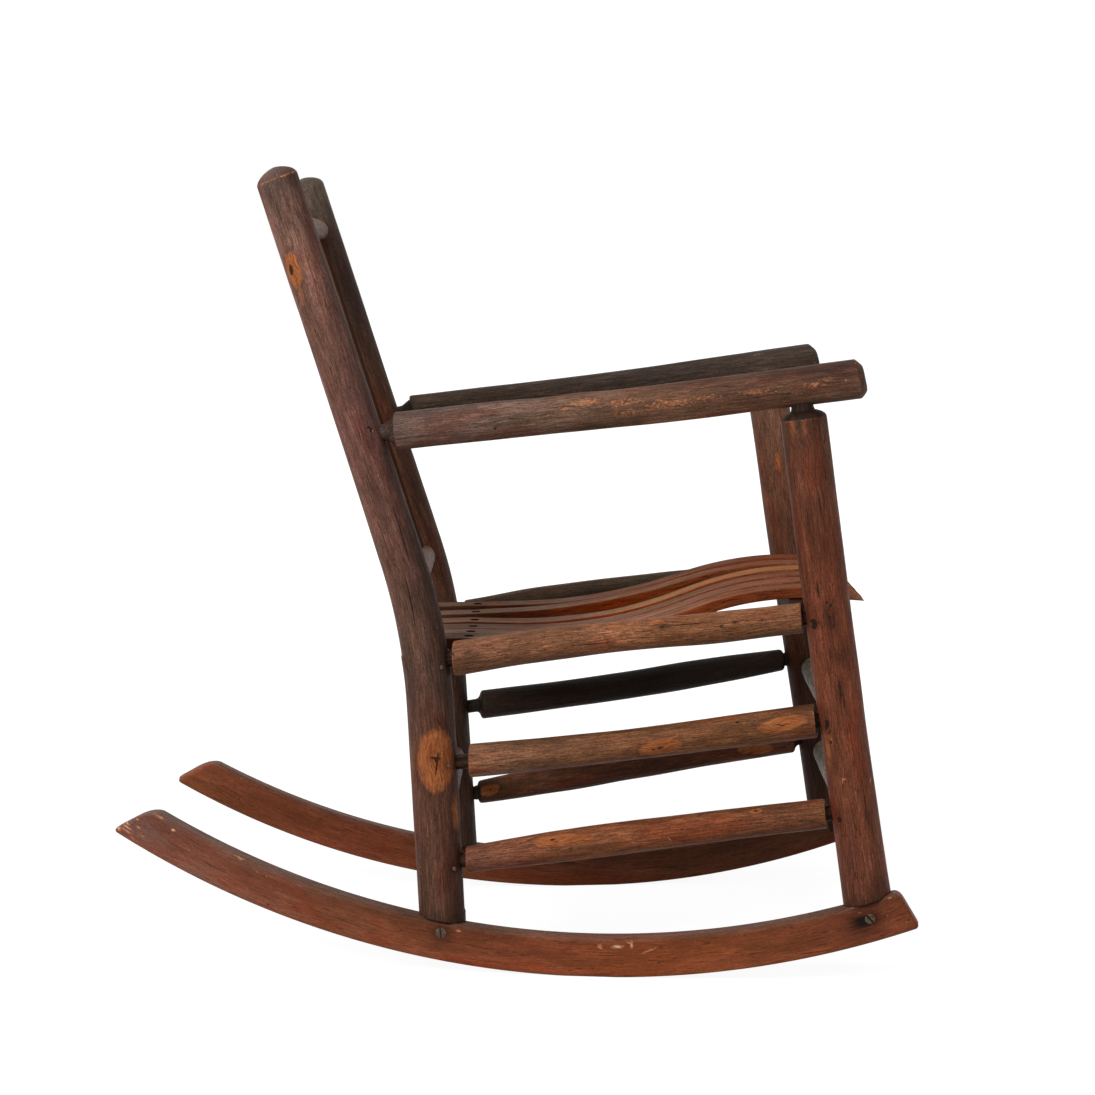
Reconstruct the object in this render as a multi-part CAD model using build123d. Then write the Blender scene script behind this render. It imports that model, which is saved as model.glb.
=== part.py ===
from build123d import *
import math
import os

# A pole-built hickory rocking chair. Millimetres, +X to the front, +Z up.
# The origin lies on the floor, midway between the runners and midway along them.
# "right" and "left" are the sitter's own: right is -Y and left is +Y.

SIDES = {"right": -1, "left": 1}

# Fits
socket_clearance = 0.1      # round a tenon in its socket
tip_clearance = 0.5         # between a tenon's tip and the bottom of its socket
seat_gap = 0.1              # between two pieces that rest on each other
tenon_spacing = 1.0         # wood left between two tenons that meet in a post

# Frame plan: half the distance between the posts' axes
rear_half_width = 210.0
front_half_width = 260.0

# Rear posts: a straight leg, a steamed bend and a raked back
rear_foot_x = {"right": -78.0, "left": -79.0}
leg_lean = {"right": 2.9, "left": 3.5}
back_lean = 17.9
bend_height = {"right": 377.0, "left": 366.0}
bend_radius = 640.0
rear_post_top_z = {"right": 876.0, "left": 880.0}
leg_radius = 25.6
back_post_radius = 24.3
post_top_radius = 22.9
post_dome = 8.5
post_rim = 2.0

# Front posts: straight and raked, with a turned shoulder under the arm
front_top_x = {"right": 315.4, "left": 313.5}
front_top_z = 616.5
front_lean = {"right": 8.0, "left": 8.85}
front_foot_radius = 26.4
front_post_radius = 25.3
front_neck_radius = 24.9
front_flare_z = 190.0       # below this the post widens to its foot
shoulder_height = 8.0
arm_pin_radius = 11.5
arm_pin_depth = 3.0         # how far the pin rises past the arm's axis

# Tenons of the rails and rungs
tenon_radius = 8.0
rim = 2.0                   # worn arris at the end of a pole

# Side rungs: heights of their axes at the rear and the front post
seat_rail_z = (345.0, 404.0)
upper_rung_z = (230.0, 291.5)
lower_rung_z = (119.5, 190.0)
left_rung_drop = 3.0        # the left side was bored a little lower
seat_rail_radii = (18.6, 18.2, 17.2, 16.9, 16.6)
upper_rung_radii = (18.4, 17.6, 17.4, 18.2, 18.2)
lower_rung_radii = (14.3, 18.0, 17.6, 16.8, 16.3)
seat_rail_gaps = (6.5, 5.0)
upper_rung_gaps = (15.7, 5.0)
lower_rung_gaps = (6.0, 7.0)
seat_rail_bow = 2.5
upper_rung_bow = -2.5
lower_rung_bow = 1.5

# Arms
arm_rear_z = 595.5
arm_front_z = {"right": 652.0, "left": 655.5}
arm_radii = (20.8, 20.6, 21.0, 21.5, 21.6)
arm_overhang = {"right": 68.7, "left": 66.7}
arm_neck_gap = 14.5
arm_neck_clear = 3.5        # bare tenon between the neck and the post
arm_neck_radius = 15.5
arm_tenon_radius = 9.0
arm_front_rim = 6.5
arm_bow = -2.0

# Cross rungs between the two sides
cross_gap = 6.0
front_upper_z = 277.0
front_lower_z = 172.0
rear_rung_z = 173.0
rear_rung_forward = 4.0     # the stretchers are bored ahead of the posts' axes
front_rung_forward = 3.0
back_top_drop = 52.0        # below the top of the right rear post
back_lower_z = 424.0
stretcher_radius = 15.1
back_top_radius = 13.6
back_lower_radius = 14.0
seat_cross_radius = 17.0
rear_rail_sag = 6.9         # the rear seat rail is a crooked pole, low in the middle

# Runners
runner_radius = 1026.0
runner_depth = 44.5
runner_thickness = 28.0
runner_outset = 7.0         # runner's mid-plane outside the posts' axes
runner_low_x = 88.5
runner_flat = 60.0          # worn flat that rests on the floor
runner_back_x = {"right": -448.6, "left": -428.6}
runner_front_x = 445.4
back_cut_run = 46.0
front_cut_run = 23.0
runner_corners = (5.0, 12.0, 7.0, 4.0)
runner_edge = 4.0
foot_tenon_radius = 8.0
foot_tenon_depth = 29.0

# Seat slats
slat_count = 6
slat_width = 50.0
slat_thickness = 11.5
slat_pitch_rear = 62.5
slat_pitch_front = 67.0
slat_rear_x = -110.0
slat_dip_x = 102.0
slat_crest_x = 272.0
slat_front_x = 387.0
slat_rear_top = 360.5
slat_dip_top = 366.9
slat_front_top = 425.3
slat_dip_radius = 600.0
slat_crest_radius = 390.0
slat_nose_run = 10.0
slat_edge = 1.5

# Seat battens under the slats
batten_front_x = 316.0
batten_rear_x = -49.0
batten_width = 18.0
batten_height = 20.0
batten_end_margin = 4.0     # the batten stops short of the outermost slat's edge

# Back slats
back_slat_count = 5
back_slat_width = 44.0
back_slat_thickness = 8.0
back_slat_pitch = 72.0
back_slat_let_in = 9.0
back_slat_edge = 1.0

# Screws and nails
runner_screw_drop = {"rear": 13.0, "front": 18.0}
runner_screw_head_radius = 6.4
runner_screw_head_height = 3.2
runner_screw_inset = 0.6
runner_screw_shank_radius = 2.6
runner_screw_length = 24.0
screw_slot_width = 1.5
screw_slot_depth = 1.4
slat_screw_head_radius = 4.0
slat_screw_head_height = 2.4
slat_screw_sink = 1.4
slat_screw_shank_radius = 2.0
slat_screw_length = 24.0
nail_offset = 18.0          # nail's distance from the post's axis, along the rung
nail_drop = {"seat_side_rail": 6.0, "upper_side_stretcher": 0.0, "lower_side_stretcher": 5.0}
nail_head_radius = 2.8
nail_head_height = 1.2
nail_shank_radius = 1.4
nail_past_axis = 4.0
hole_clearance = 0.2

UP = Vector(0, 0, 1)
inner_radius = runner_radius - runner_depth
runner_wear = runner_flat ** 2 / (8 * runner_radius)
runner_centre_z = runner_radius - runner_wear
tip_inset = tenon_radius + tenon_spacing


# ---- axes of the posts -----------------------------------------------------

def runner_top_z(x):
    """Height of the runner's top edge above a point x on its length."""
    return runner_centre_z - math.sqrt(inner_radius ** 2 - (x - runner_low_x) ** 2)


def rear_corner(side):
    """Point where the straight leg and the raked back would meet."""
    foot_x = rear_foot_x[side]
    rise = bend_height[side] - runner_top_z(foot_x)
    x = foot_x - math.tan(math.radians(leg_lean[side])) * rise
    return Vector(x, SIDES[side] * rear_half_width, bend_height[side])


def direction(lean):
    """Unit vector up a post that leans back by this angle."""
    return Vector(-math.sin(math.radians(lean)), 0, math.cos(math.radians(lean)))


def bend_centre(side):
    """Centre of the steamed bend, behind the post."""
    lean = math.radians(leg_lean[side])
    tangent = bend_radius * math.tan((math.radians(back_lean) - lean) / 2)
    start = rear_corner(side) - direction(leg_lean[side]) * tangent
    return start - Vector(math.cos(lean), 0, math.sin(lean)) * bend_radius


def rear_lean_at(side, z):
    """Lean of the rear post's axis at a height."""
    rise = (z - bend_centre(side).Z) / bend_radius
    lean = math.degrees(math.asin(max(-1.0, min(1.0, rise))))
    return max(leg_lean[side], min(back_lean, lean))


def rear_axis(side, z):
    """Point on the rear post's axis at a height."""
    corner = rear_corner(side)
    lean = rear_lean_at(side, z)
    if leg_lean[side] < lean < back_lean:
        centre = bend_centre(side)
        return Vector(centre.X + bend_radius * math.cos(math.radians(lean)), corner.Y, z)
    return Vector(corner.X - math.tan(math.radians(lean)) * (z - corner.Z), corner.Y, z)


def front_axis(side, z):
    """Point on the front post's axis at a height."""
    x = front_top_x[side] + math.tan(math.radians(front_lean[side])) * (front_top_z - z)
    return Vector(x, SIDES[side] * front_half_width, z)


def bend_end(side, lean):
    """Point where the bend runs into the straight part with this lean."""
    out = Vector(math.cos(math.radians(lean)), 0, math.sin(math.radians(lean)))
    return bend_centre(side) + out * bend_radius


def rear_radius_at(z):
    """Radius of the rear post at a height: thickest in the leg, thinnest at the top."""
    bend = (bend_end("right", leg_lean["right"]).Z, bend_end("right", back_lean).Z)
    heights = (0, bend[0], bend[1], rear_post_top_z["right"])
    return interpolate(z, heights, (leg_radius, leg_radius, back_post_radius, post_top_radius))


def front_radius_at(z):
    """Radius of the front post at a height: it flares to its foot and thins to the arm."""
    foot = runner_top_z(front_top_x["right"])
    heights = (foot, front_flare_z, front_top_z)
    return interpolate(z, heights, (front_foot_radius, front_post_radius, front_neck_radius))


def interpolate(value, keys, results):
    """Straight-line interpolation in a short list, held at both ends."""
    for low, high, a, b in zip(keys, keys[1:], results, results[1:]):
        if value <= high:
            return a + (b - a) * max(0.0, value - low) / (high - low)
    return results[-1]


def front_foot_x(side):
    """Where the front post's axis meets the runner's top."""
    x = front_top_x[side]
    for _ in range(20):
        x = front_axis(side, runner_top_z(x)).X
    return x


# ---- round stock -----------------------------------------------------------

def rod(planes, radii):
    """Smooth round bar through a row of section planes."""
    return loft([plane * Circle(radius) for plane, radius in zip(planes, radii)])


def round_pin(origin, along, start, end, radius):
    """Cylinder on an axis, between two distances from its origin."""
    base = Plane(origin + along * start, z_dir=along)
    return extrude(base * Circle(radius), amount=end - start)


def cone(origin, along, start, end, start_radius, end_radius):
    """Frustum on an axis, between two distances from its origin."""
    first = Plane(origin + along * start, z_dir=along)
    last = Plane(origin + along * end, z_dir=along)
    return loft([first * Circle(start_radius), last * Circle(end_radius)], ruled=True)


class Pole:
    """A natural pole between two points: round body, worn arrises and a tenon at each end."""

    def __init__(self, start, end, shoulders, radii, bow=0.0, tenon=tenon_radius, inset=tip_inset):
        self.start, self.end = start, end
        self.along = (end - start).normalized()
        self.length = (end - start).length
        self.first = shoulders[0]
        self.last = self.length - shoulders[1]
        self.radii = radii
        self.bow = bow
        self.tenon = tenon
        self.inset = inset

    def section(self, share):
        """Section plane at a share of the body's length, moved by the pole's bow."""
        at = self.first + rim + (self.last - self.first - 2 * rim) * share
        lift = self.bow * math.sin(math.pi * at / self.length)
        return Plane(self.start + self.along * at + UP * lift, z_dir=self.along)

    def body(self, end_rim=rim):
        """Loft through the sections, with a small cone as the worn edge at each end."""
        count = len(self.radii)
        planes = [self.section(i / (count - 1)) for i in range(count)]
        shape = rod(planes, self.radii)
        a, b = planes[0], planes[-1]
        shape += cone(a.origin, self.along, -rim, 0, self.radii[0] - rim, self.radii[0])
        shape += cone(b.origin, self.along, 0, end_rim, self.radii[-1], self.radii[-1] - end_rim)
        return shape

    def tenons(self):
        """The two round tenons, running a little way into the body."""
        deep = 4 * rim
        return [round_pin(self.start, self.along, self.inset, self.first + deep, self.tenon),
                round_pin(self.start, self.along, self.last - deep, self.length - self.inset, self.tenon)]

    def sockets(self, post_radius):
        """The two blind holes that take the tenons, open past the posts' faces."""
        tip = self.inset - tip_clearance
        wide = self.tenon + socket_clearance
        out = 2 * post_radius
        return [round_pin(self.start, self.along, tip, out, wide),
                round_pin(self.start, self.along, self.length - out, self.length - tip, wide)]

    def solid(self):
        """Body and tenons as one piece of wood."""
        shape = self.body()
        for tenon in self.tenons():
            shape += tenon
        return shape


def side_pole(side, heights, gaps, radii, bow):
    """A rung or rail from a rear post to the front post of the same side."""
    drop = left_rung_drop if side == "left" else 0.0
    start = rear_axis(side, heights[0] - drop)
    end = front_axis(side, heights[1] - drop)
    shoulders = (rear_radius_at(heights[0]) + gaps[0], front_radius_at(heights[1]) + gaps[1])
    return Pole(start, end, shoulders, radii, bow)


def cross_pole(axis, radius_at, z, radius, bow=0.0, swell=0.6, forward=0.0):
    """A rung or rail from the right side to the left side."""
    offset = Vector(forward, 0, 0)
    start, end = axis("right", z) + offset, axis("left", z) + offset
    shoulder = radius_at(z) + cross_gap
    radii = (radius - swell, radius, radius + swell / 2, radius + swell / 2, radius, radius - swell)
    return Pole(start, end, (shoulder, shoulder), radii, bow)


seat_rails = {s: side_pole(s, seat_rail_z, seat_rail_gaps, seat_rail_radii, seat_rail_bow) for s in SIDES}
upper_rungs = {s: side_pole(s, upper_rung_z, upper_rung_gaps, upper_rung_radii, upper_rung_bow) for s in SIDES}
lower_rungs = {s: side_pole(s, lower_rung_z, lower_rung_gaps, lower_rung_radii, lower_rung_bow) for s in SIDES}

front_rail_z = slat_front_top - slat_thickness - seat_cross_radius - seat_gap
rear_slope = (slat_dip_top - slat_rear_top) / (slat_dip_x - slat_rear_x)


def slat_rear_line(x):
    """Height of a seat slat's top on its straight rear stretch."""
    return slat_rear_top + rear_slope * (x - slat_rear_x)


def rear_rail_middle_z():
    """Lowest axis height of the crooked rear seat rail, under the middle slats."""
    x = rear_axis("right", slat_rear_top).X
    return slat_rear_line(x) - slat_thickness - seat_cross_radius - seat_gap


rear_rail_z = rear_rail_middle_z() + rear_rail_sag
cross = {
    "front_seat_rail": cross_pole(front_axis, front_radius_at, front_rail_z, seat_cross_radius, swell=0.0),
    "rear_seat_rail": cross_pole(rear_axis, rear_radius_at, rear_rail_z, seat_cross_radius, -rear_rail_sag, 0.0),
    "front_upper_stretcher": cross_pole(front_axis, front_radius_at, front_upper_z, stretcher_radius,
                                        forward=front_rung_forward),
    "front_lower_stretcher": cross_pole(front_axis, front_radius_at, front_lower_z, stretcher_radius,
                                        forward=front_rung_forward),
    "rear_stretcher": cross_pole(rear_axis, rear_radius_at, rear_rung_z, stretcher_radius,
                                 forward=rear_rung_forward),
    "back_top_rail": cross_pole(rear_axis, rear_radius_at, rear_post_top_z["right"] - back_top_drop,
                                back_top_radius),
    "back_lower_rail": cross_pole(rear_axis, rear_radius_at, back_lower_z, back_lower_radius),
}


# ---- runners ---------------------------------------------------------------

class Runner:
    """A bent board on edge under one side, in the upright plane through that side's two feet."""

    def __init__(self, side):
        self.side = side
        sign = SIDES[side]
        self.rear = Vector(rear_foot_x[side], sign * (rear_half_width + runner_outset), 0)
        self.front = Vector(front_foot_x(side), sign * (front_half_width + runner_outset), 0)
        self.along = (self.front - self.rear).normalized()
        share = (runner_low_x - self.rear.X) / self.along.X
        self.outward = self.along.cross(UP) * (1 if sign < 0 else -1)
        self.plane = Plane(self.rear + self.along * share, x_dir=self.along, z_dir=self.along.cross(UP))

    def reach(self, x):
        """Distance along the runner from its lowest point to a place x."""
        return (x - runner_low_x) / self.along.X

    def on_arc(self, radius, u):
        """Point on a runner arc, in the runner's plane."""
        return (u, runner_centre_z - math.sqrt(radius ** 2 - u ** 2))

    def outline(self):
        """Lower arc with its worn flat, two slanted ends and the upper arc."""
        back, front = self.reach(runner_back_x[self.side]), self.reach(runner_front_x)
        a, d = self.on_arc(runner_radius, back), self.on_arc(runner_radius, front)
        b = self.on_arc(inner_radius, back + back_cut_run)
        c = self.on_arc(inner_radius, front - front_cut_run)
        flat_back, flat_front = (-runner_flat / 2, 0), (runner_flat / 2, 0)
        lower_back = self.on_arc(runner_radius, (back - runner_flat / 2) / 2)
        lower_front = self.on_arc(runner_radius, (front + runner_flat / 2) / 2)
        upper = self.on_arc(inner_radius, (b[0] + c[0]) / 2)
        edges = [ThreePointArc(a, lower_back, flat_back), Line(flat_back, flat_front),
                 ThreePointArc(flat_front, lower_front, d), Line(d, c),
                 ThreePointArc(c, upper, b), Line(b, a)]
        face = make_face(edges)
        for corner, radius in zip((a, b, c, d), runner_corners):
            vertex = face.vertices().sort_by_distance(corner)[0]
            face = fillet(vertex, radius)
        return face

    def foot_plane(self, x):
        """Plane of the top edge under a post's foot, just clear of the hollow arc."""
        u = self.reach(x)
        lean = -u / inner_radius
        normal = self.along * lean + UP * math.sqrt(1 - lean ** 2)
        top = self.plane.from_local_coords(Vector(*self.on_arc(inner_radius, u), 0))
        clear = leg_radius ** 2 / (2 * inner_radius) + seat_gap
        return Plane(top + normal * clear, z_dir=normal)

    def board(self):
        """The runner without its sockets, its long arrises rounded."""
        shape = extrude(self.plane * self.outline(), amount=runner_thickness / 2, both=True)
        faces = shape.faces().filter_by(GeomType.PLANE).sort_by(SortBy.AREA)[-2:]
        return fillet(faces.edges(), runner_edge)


runners = {side: Runner(side) for side in SIDES}


class Foot:
    """Where a post stands on its runner: a cut foot, an off-centre tenon and its screw."""

    def __init__(self, side, end):
        self.runner = runners[side]
        self.end = end
        rear = end == "rear"
        x = rear_foot_x[side] if rear else front_foot_x(side)
        self.plane = self.runner.foot_plane(x)
        self.along = direction(leg_lean[side] if rear else front_lean[side])
        outset = Vector(0, SIDES[side] * runner_outset, 0)
        post_axis = (rear_axis if rear else front_axis)(side, runner_top_z(x))
        self.top = post_axis + outset

    def tenon(self, extra=0.0, tip=0.0):
        """Tenon down into the runner; extra and tip widen and lengthen it into its socket."""
        start = self.top - self.along * (foot_tenon_depth + tip)
        return round_pin(start, self.along, 0, foot_tenon_depth + tip + leg_radius, foot_tenon_radius + extra)

    def screw_frame(self):
        """Start point on the runner's outer face and direction into the wood."""
        middle = self.top - self.along * runner_screw_drop[self.end]
        return middle + self.runner.outward * (runner_thickness / 2), self.runner.outward * -1

    def screw(self):
        """Slotted screw with a flat round head, let in just below the face."""
        face, inward = self.screw_frame()
        shape = round_pin(face, inward, runner_screw_inset, runner_screw_inset + runner_screw_head_height,
                          runner_screw_head_radius)
        shape += round_pin(face, inward, runner_screw_inset, runner_screw_length, runner_screw_shank_radius)
        slot = Plane(face + inward * runner_screw_inset, x_dir=UP, z_dir=inward)
        return shape - extrude(slot * Rectangle(3 * runner_screw_head_radius, screw_slot_width),
                               amount=screw_slot_depth)

    def screw_hole(self):
        """Hole for the screw through runner and tenon."""
        face, inward = self.screw_frame()
        head = runner_screw_inset + runner_screw_head_height + hole_clearance
        hole = round_pin(face, inward, -runner_edge, head, runner_screw_head_radius + hole_clearance)
        return hole + round_pin(face, inward, 0, runner_screw_length + hole_clearance,
                                runner_screw_shank_radius + hole_clearance)


feet = {(side, end): Foot(side, end) for side in SIDES for end in ("rear", "front")}


# ---- nails through the posts into the side tenons --------------------------

class Nail:
    """A nail driven from a post's outer face through a side rung's tenon."""

    def __init__(self, side, pole, at_rear, post_radius, drop):
        self.inward = Vector(0, -SIDES[side], 0)
        middle = pole.start + pole.along * nail_offset if at_rear else pole.end - pole.along * nail_offset
        middle -= UP * drop
        bite = nail_offset + nail_head_radius
        self.face = middle - self.inward * math.sqrt(post_radius ** 2 - bite ** 2)
        self.length = (middle - self.face).length + nail_past_axis

    def solid(self):
        """Round head and shank."""
        head = round_pin(self.face, self.inward, 0, nail_head_height, nail_head_radius)
        return head + round_pin(self.face, self.inward, 0, self.length, nail_shank_radius)

    def hole(self):
        """Hole through the post's wall and the tenon, with a sinking for the head."""
        deep = nail_head_height + hole_clearance
        sinking = round_pin(self.face, self.inward, -nail_offset, deep, nail_head_radius + hole_clearance)
        return sinking + round_pin(self.face, self.inward, 0, self.length + hole_clearance,
                                   nail_shank_radius + hole_clearance)


side_poles = {"seat_side_rail": (seat_rails, seat_rail_z), "upper_side_stretcher": (upper_rungs, upper_rung_z),
              "lower_side_stretcher": (lower_rungs, lower_rung_z)}
nails = {}
for name, (poles, heights) in side_poles.items():
    for side in SIDES:
        drop = nail_drop[name]
        nails[name, side, "rear"] = Nail(side, poles[side], True, rear_radius_at(heights[0]), drop)
        nails[name, side, "front"] = Nail(side, poles[side], False, front_radius_at(heights[1]), drop)


# ---- arms ------------------------------------------------------------------

class Arm(Pole):
    """An arm pole: tapered neck and tenon at the back, free chamfered end at the front."""

    def __init__(self, side):
        rear, front = rear_axis(side, arm_rear_z), front_axis(side, arm_front_z[side])
        along = (front - rear).normalized()
        shoulders = (rear_radius_at(arm_rear_z) + arm_neck_gap, 0.0)
        super().__init__(rear, front + along * arm_overhang[side], shoulders, arm_radii, arm_bow,
                         arm_tenon_radius, arm_tenon_radius + tenon_spacing)

    def solid(self):
        """Body, neck and rear tenon."""
        self.last -= arm_front_rim - rim
        neck_start = self.first - arm_neck_gap + arm_neck_clear
        neck = cone(self.start, self.along, neck_start, self.first, self.tenon, arm_neck_radius)
        shape = self.body(arm_front_rim) + neck + self.tenons()[0]
        self.last += arm_front_rim - rim
        return shape


arms = {side: Arm(side) for side in SIDES}


def arm_pin(side, extra=0.0, tip=0.0):
    """Pin on the front post's top that holds the arm; extra and tip make its socket."""
    along = direction(front_lean[side])
    start = front_axis(side, front_top_z)
    rise = (arm_front_z[side] - front_top_z) / along.Z + arm_pin_depth + tip
    return round_pin(start, along, -front_neck_radius, rise, arm_pin_radius + extra)


# ---- posts -----------------------------------------------------------------

def rear_post(side):
    """Leg, bend and raked back in one pole, domed on top and cut to its runner."""
    foot = feet[side, "rear"]
    down, up = direction(leg_lean[side]), direction(back_lean)
    low, high = bend_end(side, leg_lean[side]), bend_end(side, back_lean)
    middle = bend_end(side, (leg_lean[side] + back_lean) / 2)
    top = rear_axis(side, rear_post_top_z[side])
    below = Plane(low, x_dir=(0, 1, 0), z_dir=down) * Circle(leg_radius)
    above = Plane(high, x_dir=(0, 1, 0), z_dir=up) * Circle(back_post_radius)
    shape = sweep([below, above], path=ThreePointArc(low, middle, high), multisection=True)
    shape += round_pin(low, down, -low.Z, 0, leg_radius)
    shape += cone(high, up, 0, (top - high).length, back_post_radius, post_top_radius)
    shape += post_cap(top, up)
    shape = split(shape, bisect_by=foot.plane, keep=Keep.TOP)
    return shape + foot.tenon()


def post_cap(origin, along):
    """Worn rim and low dome of a post's top, turned about its axis."""
    plane = Plane(origin, x_dir=(0, 1, 0), z_dir=along)
    radius = post_top_radius - post_rim
    outline = [Line((0, 0), (post_top_radius, 0)), Line((post_top_radius, 0), (radius, post_rim)),
               Spline((radius, post_rim), (0, post_dome), tangents=((-1, 1), (-1, 0))),
               Line((0, post_dome), (0, 0))]
    profile = Plane(plane.origin, x_dir=plane.x_dir, z_dir=plane.x_dir.cross(plane.z_dir)) * make_face(outline)
    return revolve(profile, axis=Axis(plane.origin, plane.z_dir))


def front_post(side):
    """Straight pole with a hollow-turned shoulder and the arm's pin on top."""
    foot = feet[side, "front"]
    along = direction(front_lean[side])
    top = front_axis(side, front_top_z)
    flare = (front_flare_z - front_top_z) / along.Z
    end = (foot.plane.origin.Z - front_top_z) / along.Z
    shape = cone(top, along, flare, 0, front_post_radius, front_neck_radius)
    shape += cone(top, along, end, flare, front_foot_radius, front_post_radius)
    shape += round_pin(top, along, end - leg_radius, end, front_foot_radius)
    x_dir = Vector(0, 1, 0)
    profile = Plane(top, x_dir=x_dir, z_dir=x_dir.cross(along))
    inner, outer = arm_pin_radius, front_neck_radius
    hollow = [Line((0, 0), (outer, 0)), Line((outer, 0), (outer - rim, rim)),
              Spline((outer - rim, rim), (inner, shoulder_height), tangents=((-1, 0), (0, 1))),
              Line((inner, shoulder_height), (0, shoulder_height)), Line((0, shoulder_height), (0, 0))]
    shape += revolve(profile * make_face(hollow), axis=Axis(top, along))
    shape = split(shape, bisect_by=foot.plane, keep=Keep.TOP)
    return shape + foot.tenon() + arm_pin(side)


# ---- seat ------------------------------------------------------------------

def rail_sag(y):
    """How far the crooked rear rail lies below its ends at a distance y from the middle."""
    return rear_rail_sag * math.cos(math.pi * y / (2 * rear_half_width))


def slat_number(index):
    """Signed place of a slat, counted in pitches from the middle of the seat."""
    return index - (slat_count - 1) / 2


def slat_lift(index):
    """How far a slat's rear is raised by the rail, which rises towards the posts."""
    edge = abs(slat_number(index)) * slat_pitch_rear + slat_width / 2
    return rear_rail_sag - rail_sag(edge)


def slat_place(index):
    """Location of a slat: fanned about the front rail, and pitched up to sit on the rear rail."""
    front = front_axis("right", front_rail_z).X
    rear = rear_axis("right", rear_rail_z).X
    run = batten_front_x - batten_rear_x
    fan = math.degrees(math.atan2(slat_number(index) * (slat_pitch_front - slat_pitch_rear), run))
    pitch = math.degrees(math.atan2(slat_lift(index), front - rear))
    pivot = Vector(front, 0, slat_front_top - slat_thickness)
    side = slat_number(index) * slat_pitch_front
    return (Location((pivot.X, pivot.Y + side, pivot.Z), (0, pitch, fan))
            * Location((-pivot.X, 0, -pivot.Z)))


def seat_slat():
    """One wavy slat in the middle of the seat, before it is placed."""
    half = slat_thickness / 2
    line = FilletPolyline((slat_rear_x, slat_rear_top - half), (slat_dip_x, slat_dip_top - half),
                          (slat_crest_x, slat_front_top - half), (slat_front_x, slat_front_top - half),
                          radius=[slat_dip_radius, slat_crest_radius])
    band = trace(line, slat_thickness)
    nose_low = slat_front_top - slat_thickness
    nose = make_face(Polyline((slat_front_x, nose_low), (slat_front_x + half, nose_low),
                              (slat_front_x + half, slat_front_top + half),
                              (slat_front_x - slat_nose_run * 1.5, slat_front_top + half), close=True))
    upright = Plane(origin=(0, 0, 0), x_dir=(1, 0, 0), z_dir=(0, -1, 0))
    board = extrude(upright * (band - nose), amount=slat_width / 2, both=True)
    sides = board.faces().filter_by(Axis.Y)
    return chamfer(sides.edges(), slat_edge)


def slat_front_drop(x):
    """How far a slat lies below its level front, where it curves down behind the front rail."""
    climb = math.atan2(slat_front_top - slat_dip_top, slat_crest_x - slat_dip_x)
    tangent = slat_crest_radius * math.tan(climb / 2)
    radius = slat_crest_radius - slat_thickness / 2
    return max(0.0, slat_crest_x + tangent - x) ** 2 / (2 * radius)


def slat_screw_tops():
    """The two screw places on a slat, as points on its top face."""
    front = slat_front_top - slat_front_drop(batten_front_x)
    return (Vector(batten_rear_x, 0, slat_rear_line(batten_rear_x)), Vector(batten_front_x, 0, front))


def slat_screw(top):
    """Slotted countersunk screw, sunk below the slat's face."""
    down = UP * -1
    bottom = slat_screw_sink + slat_screw_head_height
    shape = cone(top, down, slat_screw_sink, bottom, slat_screw_head_radius, slat_screw_shank_radius)
    shape += round_pin(top, down, slat_screw_sink, slat_screw_length, slat_screw_shank_radius)
    slot = Plane(top + down * slat_screw_sink, x_dir=(1, 0, 0), z_dir=down)
    return shape - extrude(slot * Rectangle(3 * slat_screw_head_radius, screw_slot_width / 2),
                           amount=screw_slot_depth / 2)


def slat_screw_hole(top):
    """Sinking and shank hole for one slat screw."""
    down = UP * -1
    bottom = slat_screw_sink + slat_screw_head_height + hole_clearance
    hole = round_pin(top, down, -slat_thickness / 2, bottom, slat_screw_head_radius + hole_clearance)
    return hole + round_pin(top, down, 0, slat_screw_length + hole_clearance,
                            slat_screw_shank_radius + hole_clearance)


def batten(x, top_z, pitch, sag_share):
    """A bar across the undersides of the slats, bent to the seat's hollow."""
    reach = (slat_count - 1) / 2 * pitch + slat_width / 2 - batten_end_margin
    rise = sag_share * (rear_rail_sag - rail_sag(reach))
    plane = Plane(origin=(x, 0, top_z - seat_gap), x_dir=(0, 1, 0), z_dir=(1, 0, 0))
    if rise <= 0:
        section = plane * Pos(0, -batten_height / 2) * Rectangle(2 * reach, batten_height)
    else:
        top = ThreePointArc((-reach, rise), (0, 0), (reach, rise))
        bottom = ThreePointArc((reach, rise - batten_height), (0, -batten_height), (-reach, rise - batten_height))
        ends = [Line(top @ 1, bottom @ 0), Line(bottom @ 1, top @ 0)]
        section = plane * make_face([top, ends[0], bottom, ends[1]])
    return extrude(section, amount=batten_width / 2, both=True)


# ---- back slats ------------------------------------------------------------

def back_slat_ends(index):
    """Points on the axes of the two back rails between which a back slat stands."""
    y = (index - (back_slat_count - 1) / 2) * back_slat_pitch
    share = y / (2 * rear_half_width) + 0.5
    return [cross[name].start + (cross[name].end - cross[name].start) * share
            for name in ("back_top_rail", "back_lower_rail")]


def back_slat(index, extra=0.0):
    """A thin board let into both back rails; extra makes the pocket that takes it."""
    top, bottom = back_slat_ends(index)
    along = (bottom - top).normalized()
    start = back_top_radius - back_slat_let_in - extra
    end = (bottom - top).length - back_lower_radius + back_slat_let_in + extra
    section = Plane(top + along * start, x_dir=(0, 1, 0), z_dir=along)
    board = extrude(section * Rectangle(back_slat_width + 2 * extra, back_slat_thickness + 2 * extra),
                    amount=end - start)
    if extra:
        return board
    return chamfer(board.edges().filter_by(Axis(top, along)), back_slat_edge)


# ---- the finished pieces ---------------------------------------------------

def without(shape, cuts):
    """A piece with every hole in a list cut from it."""
    for cut in cuts:
        shape -= cut
    return shape


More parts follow.
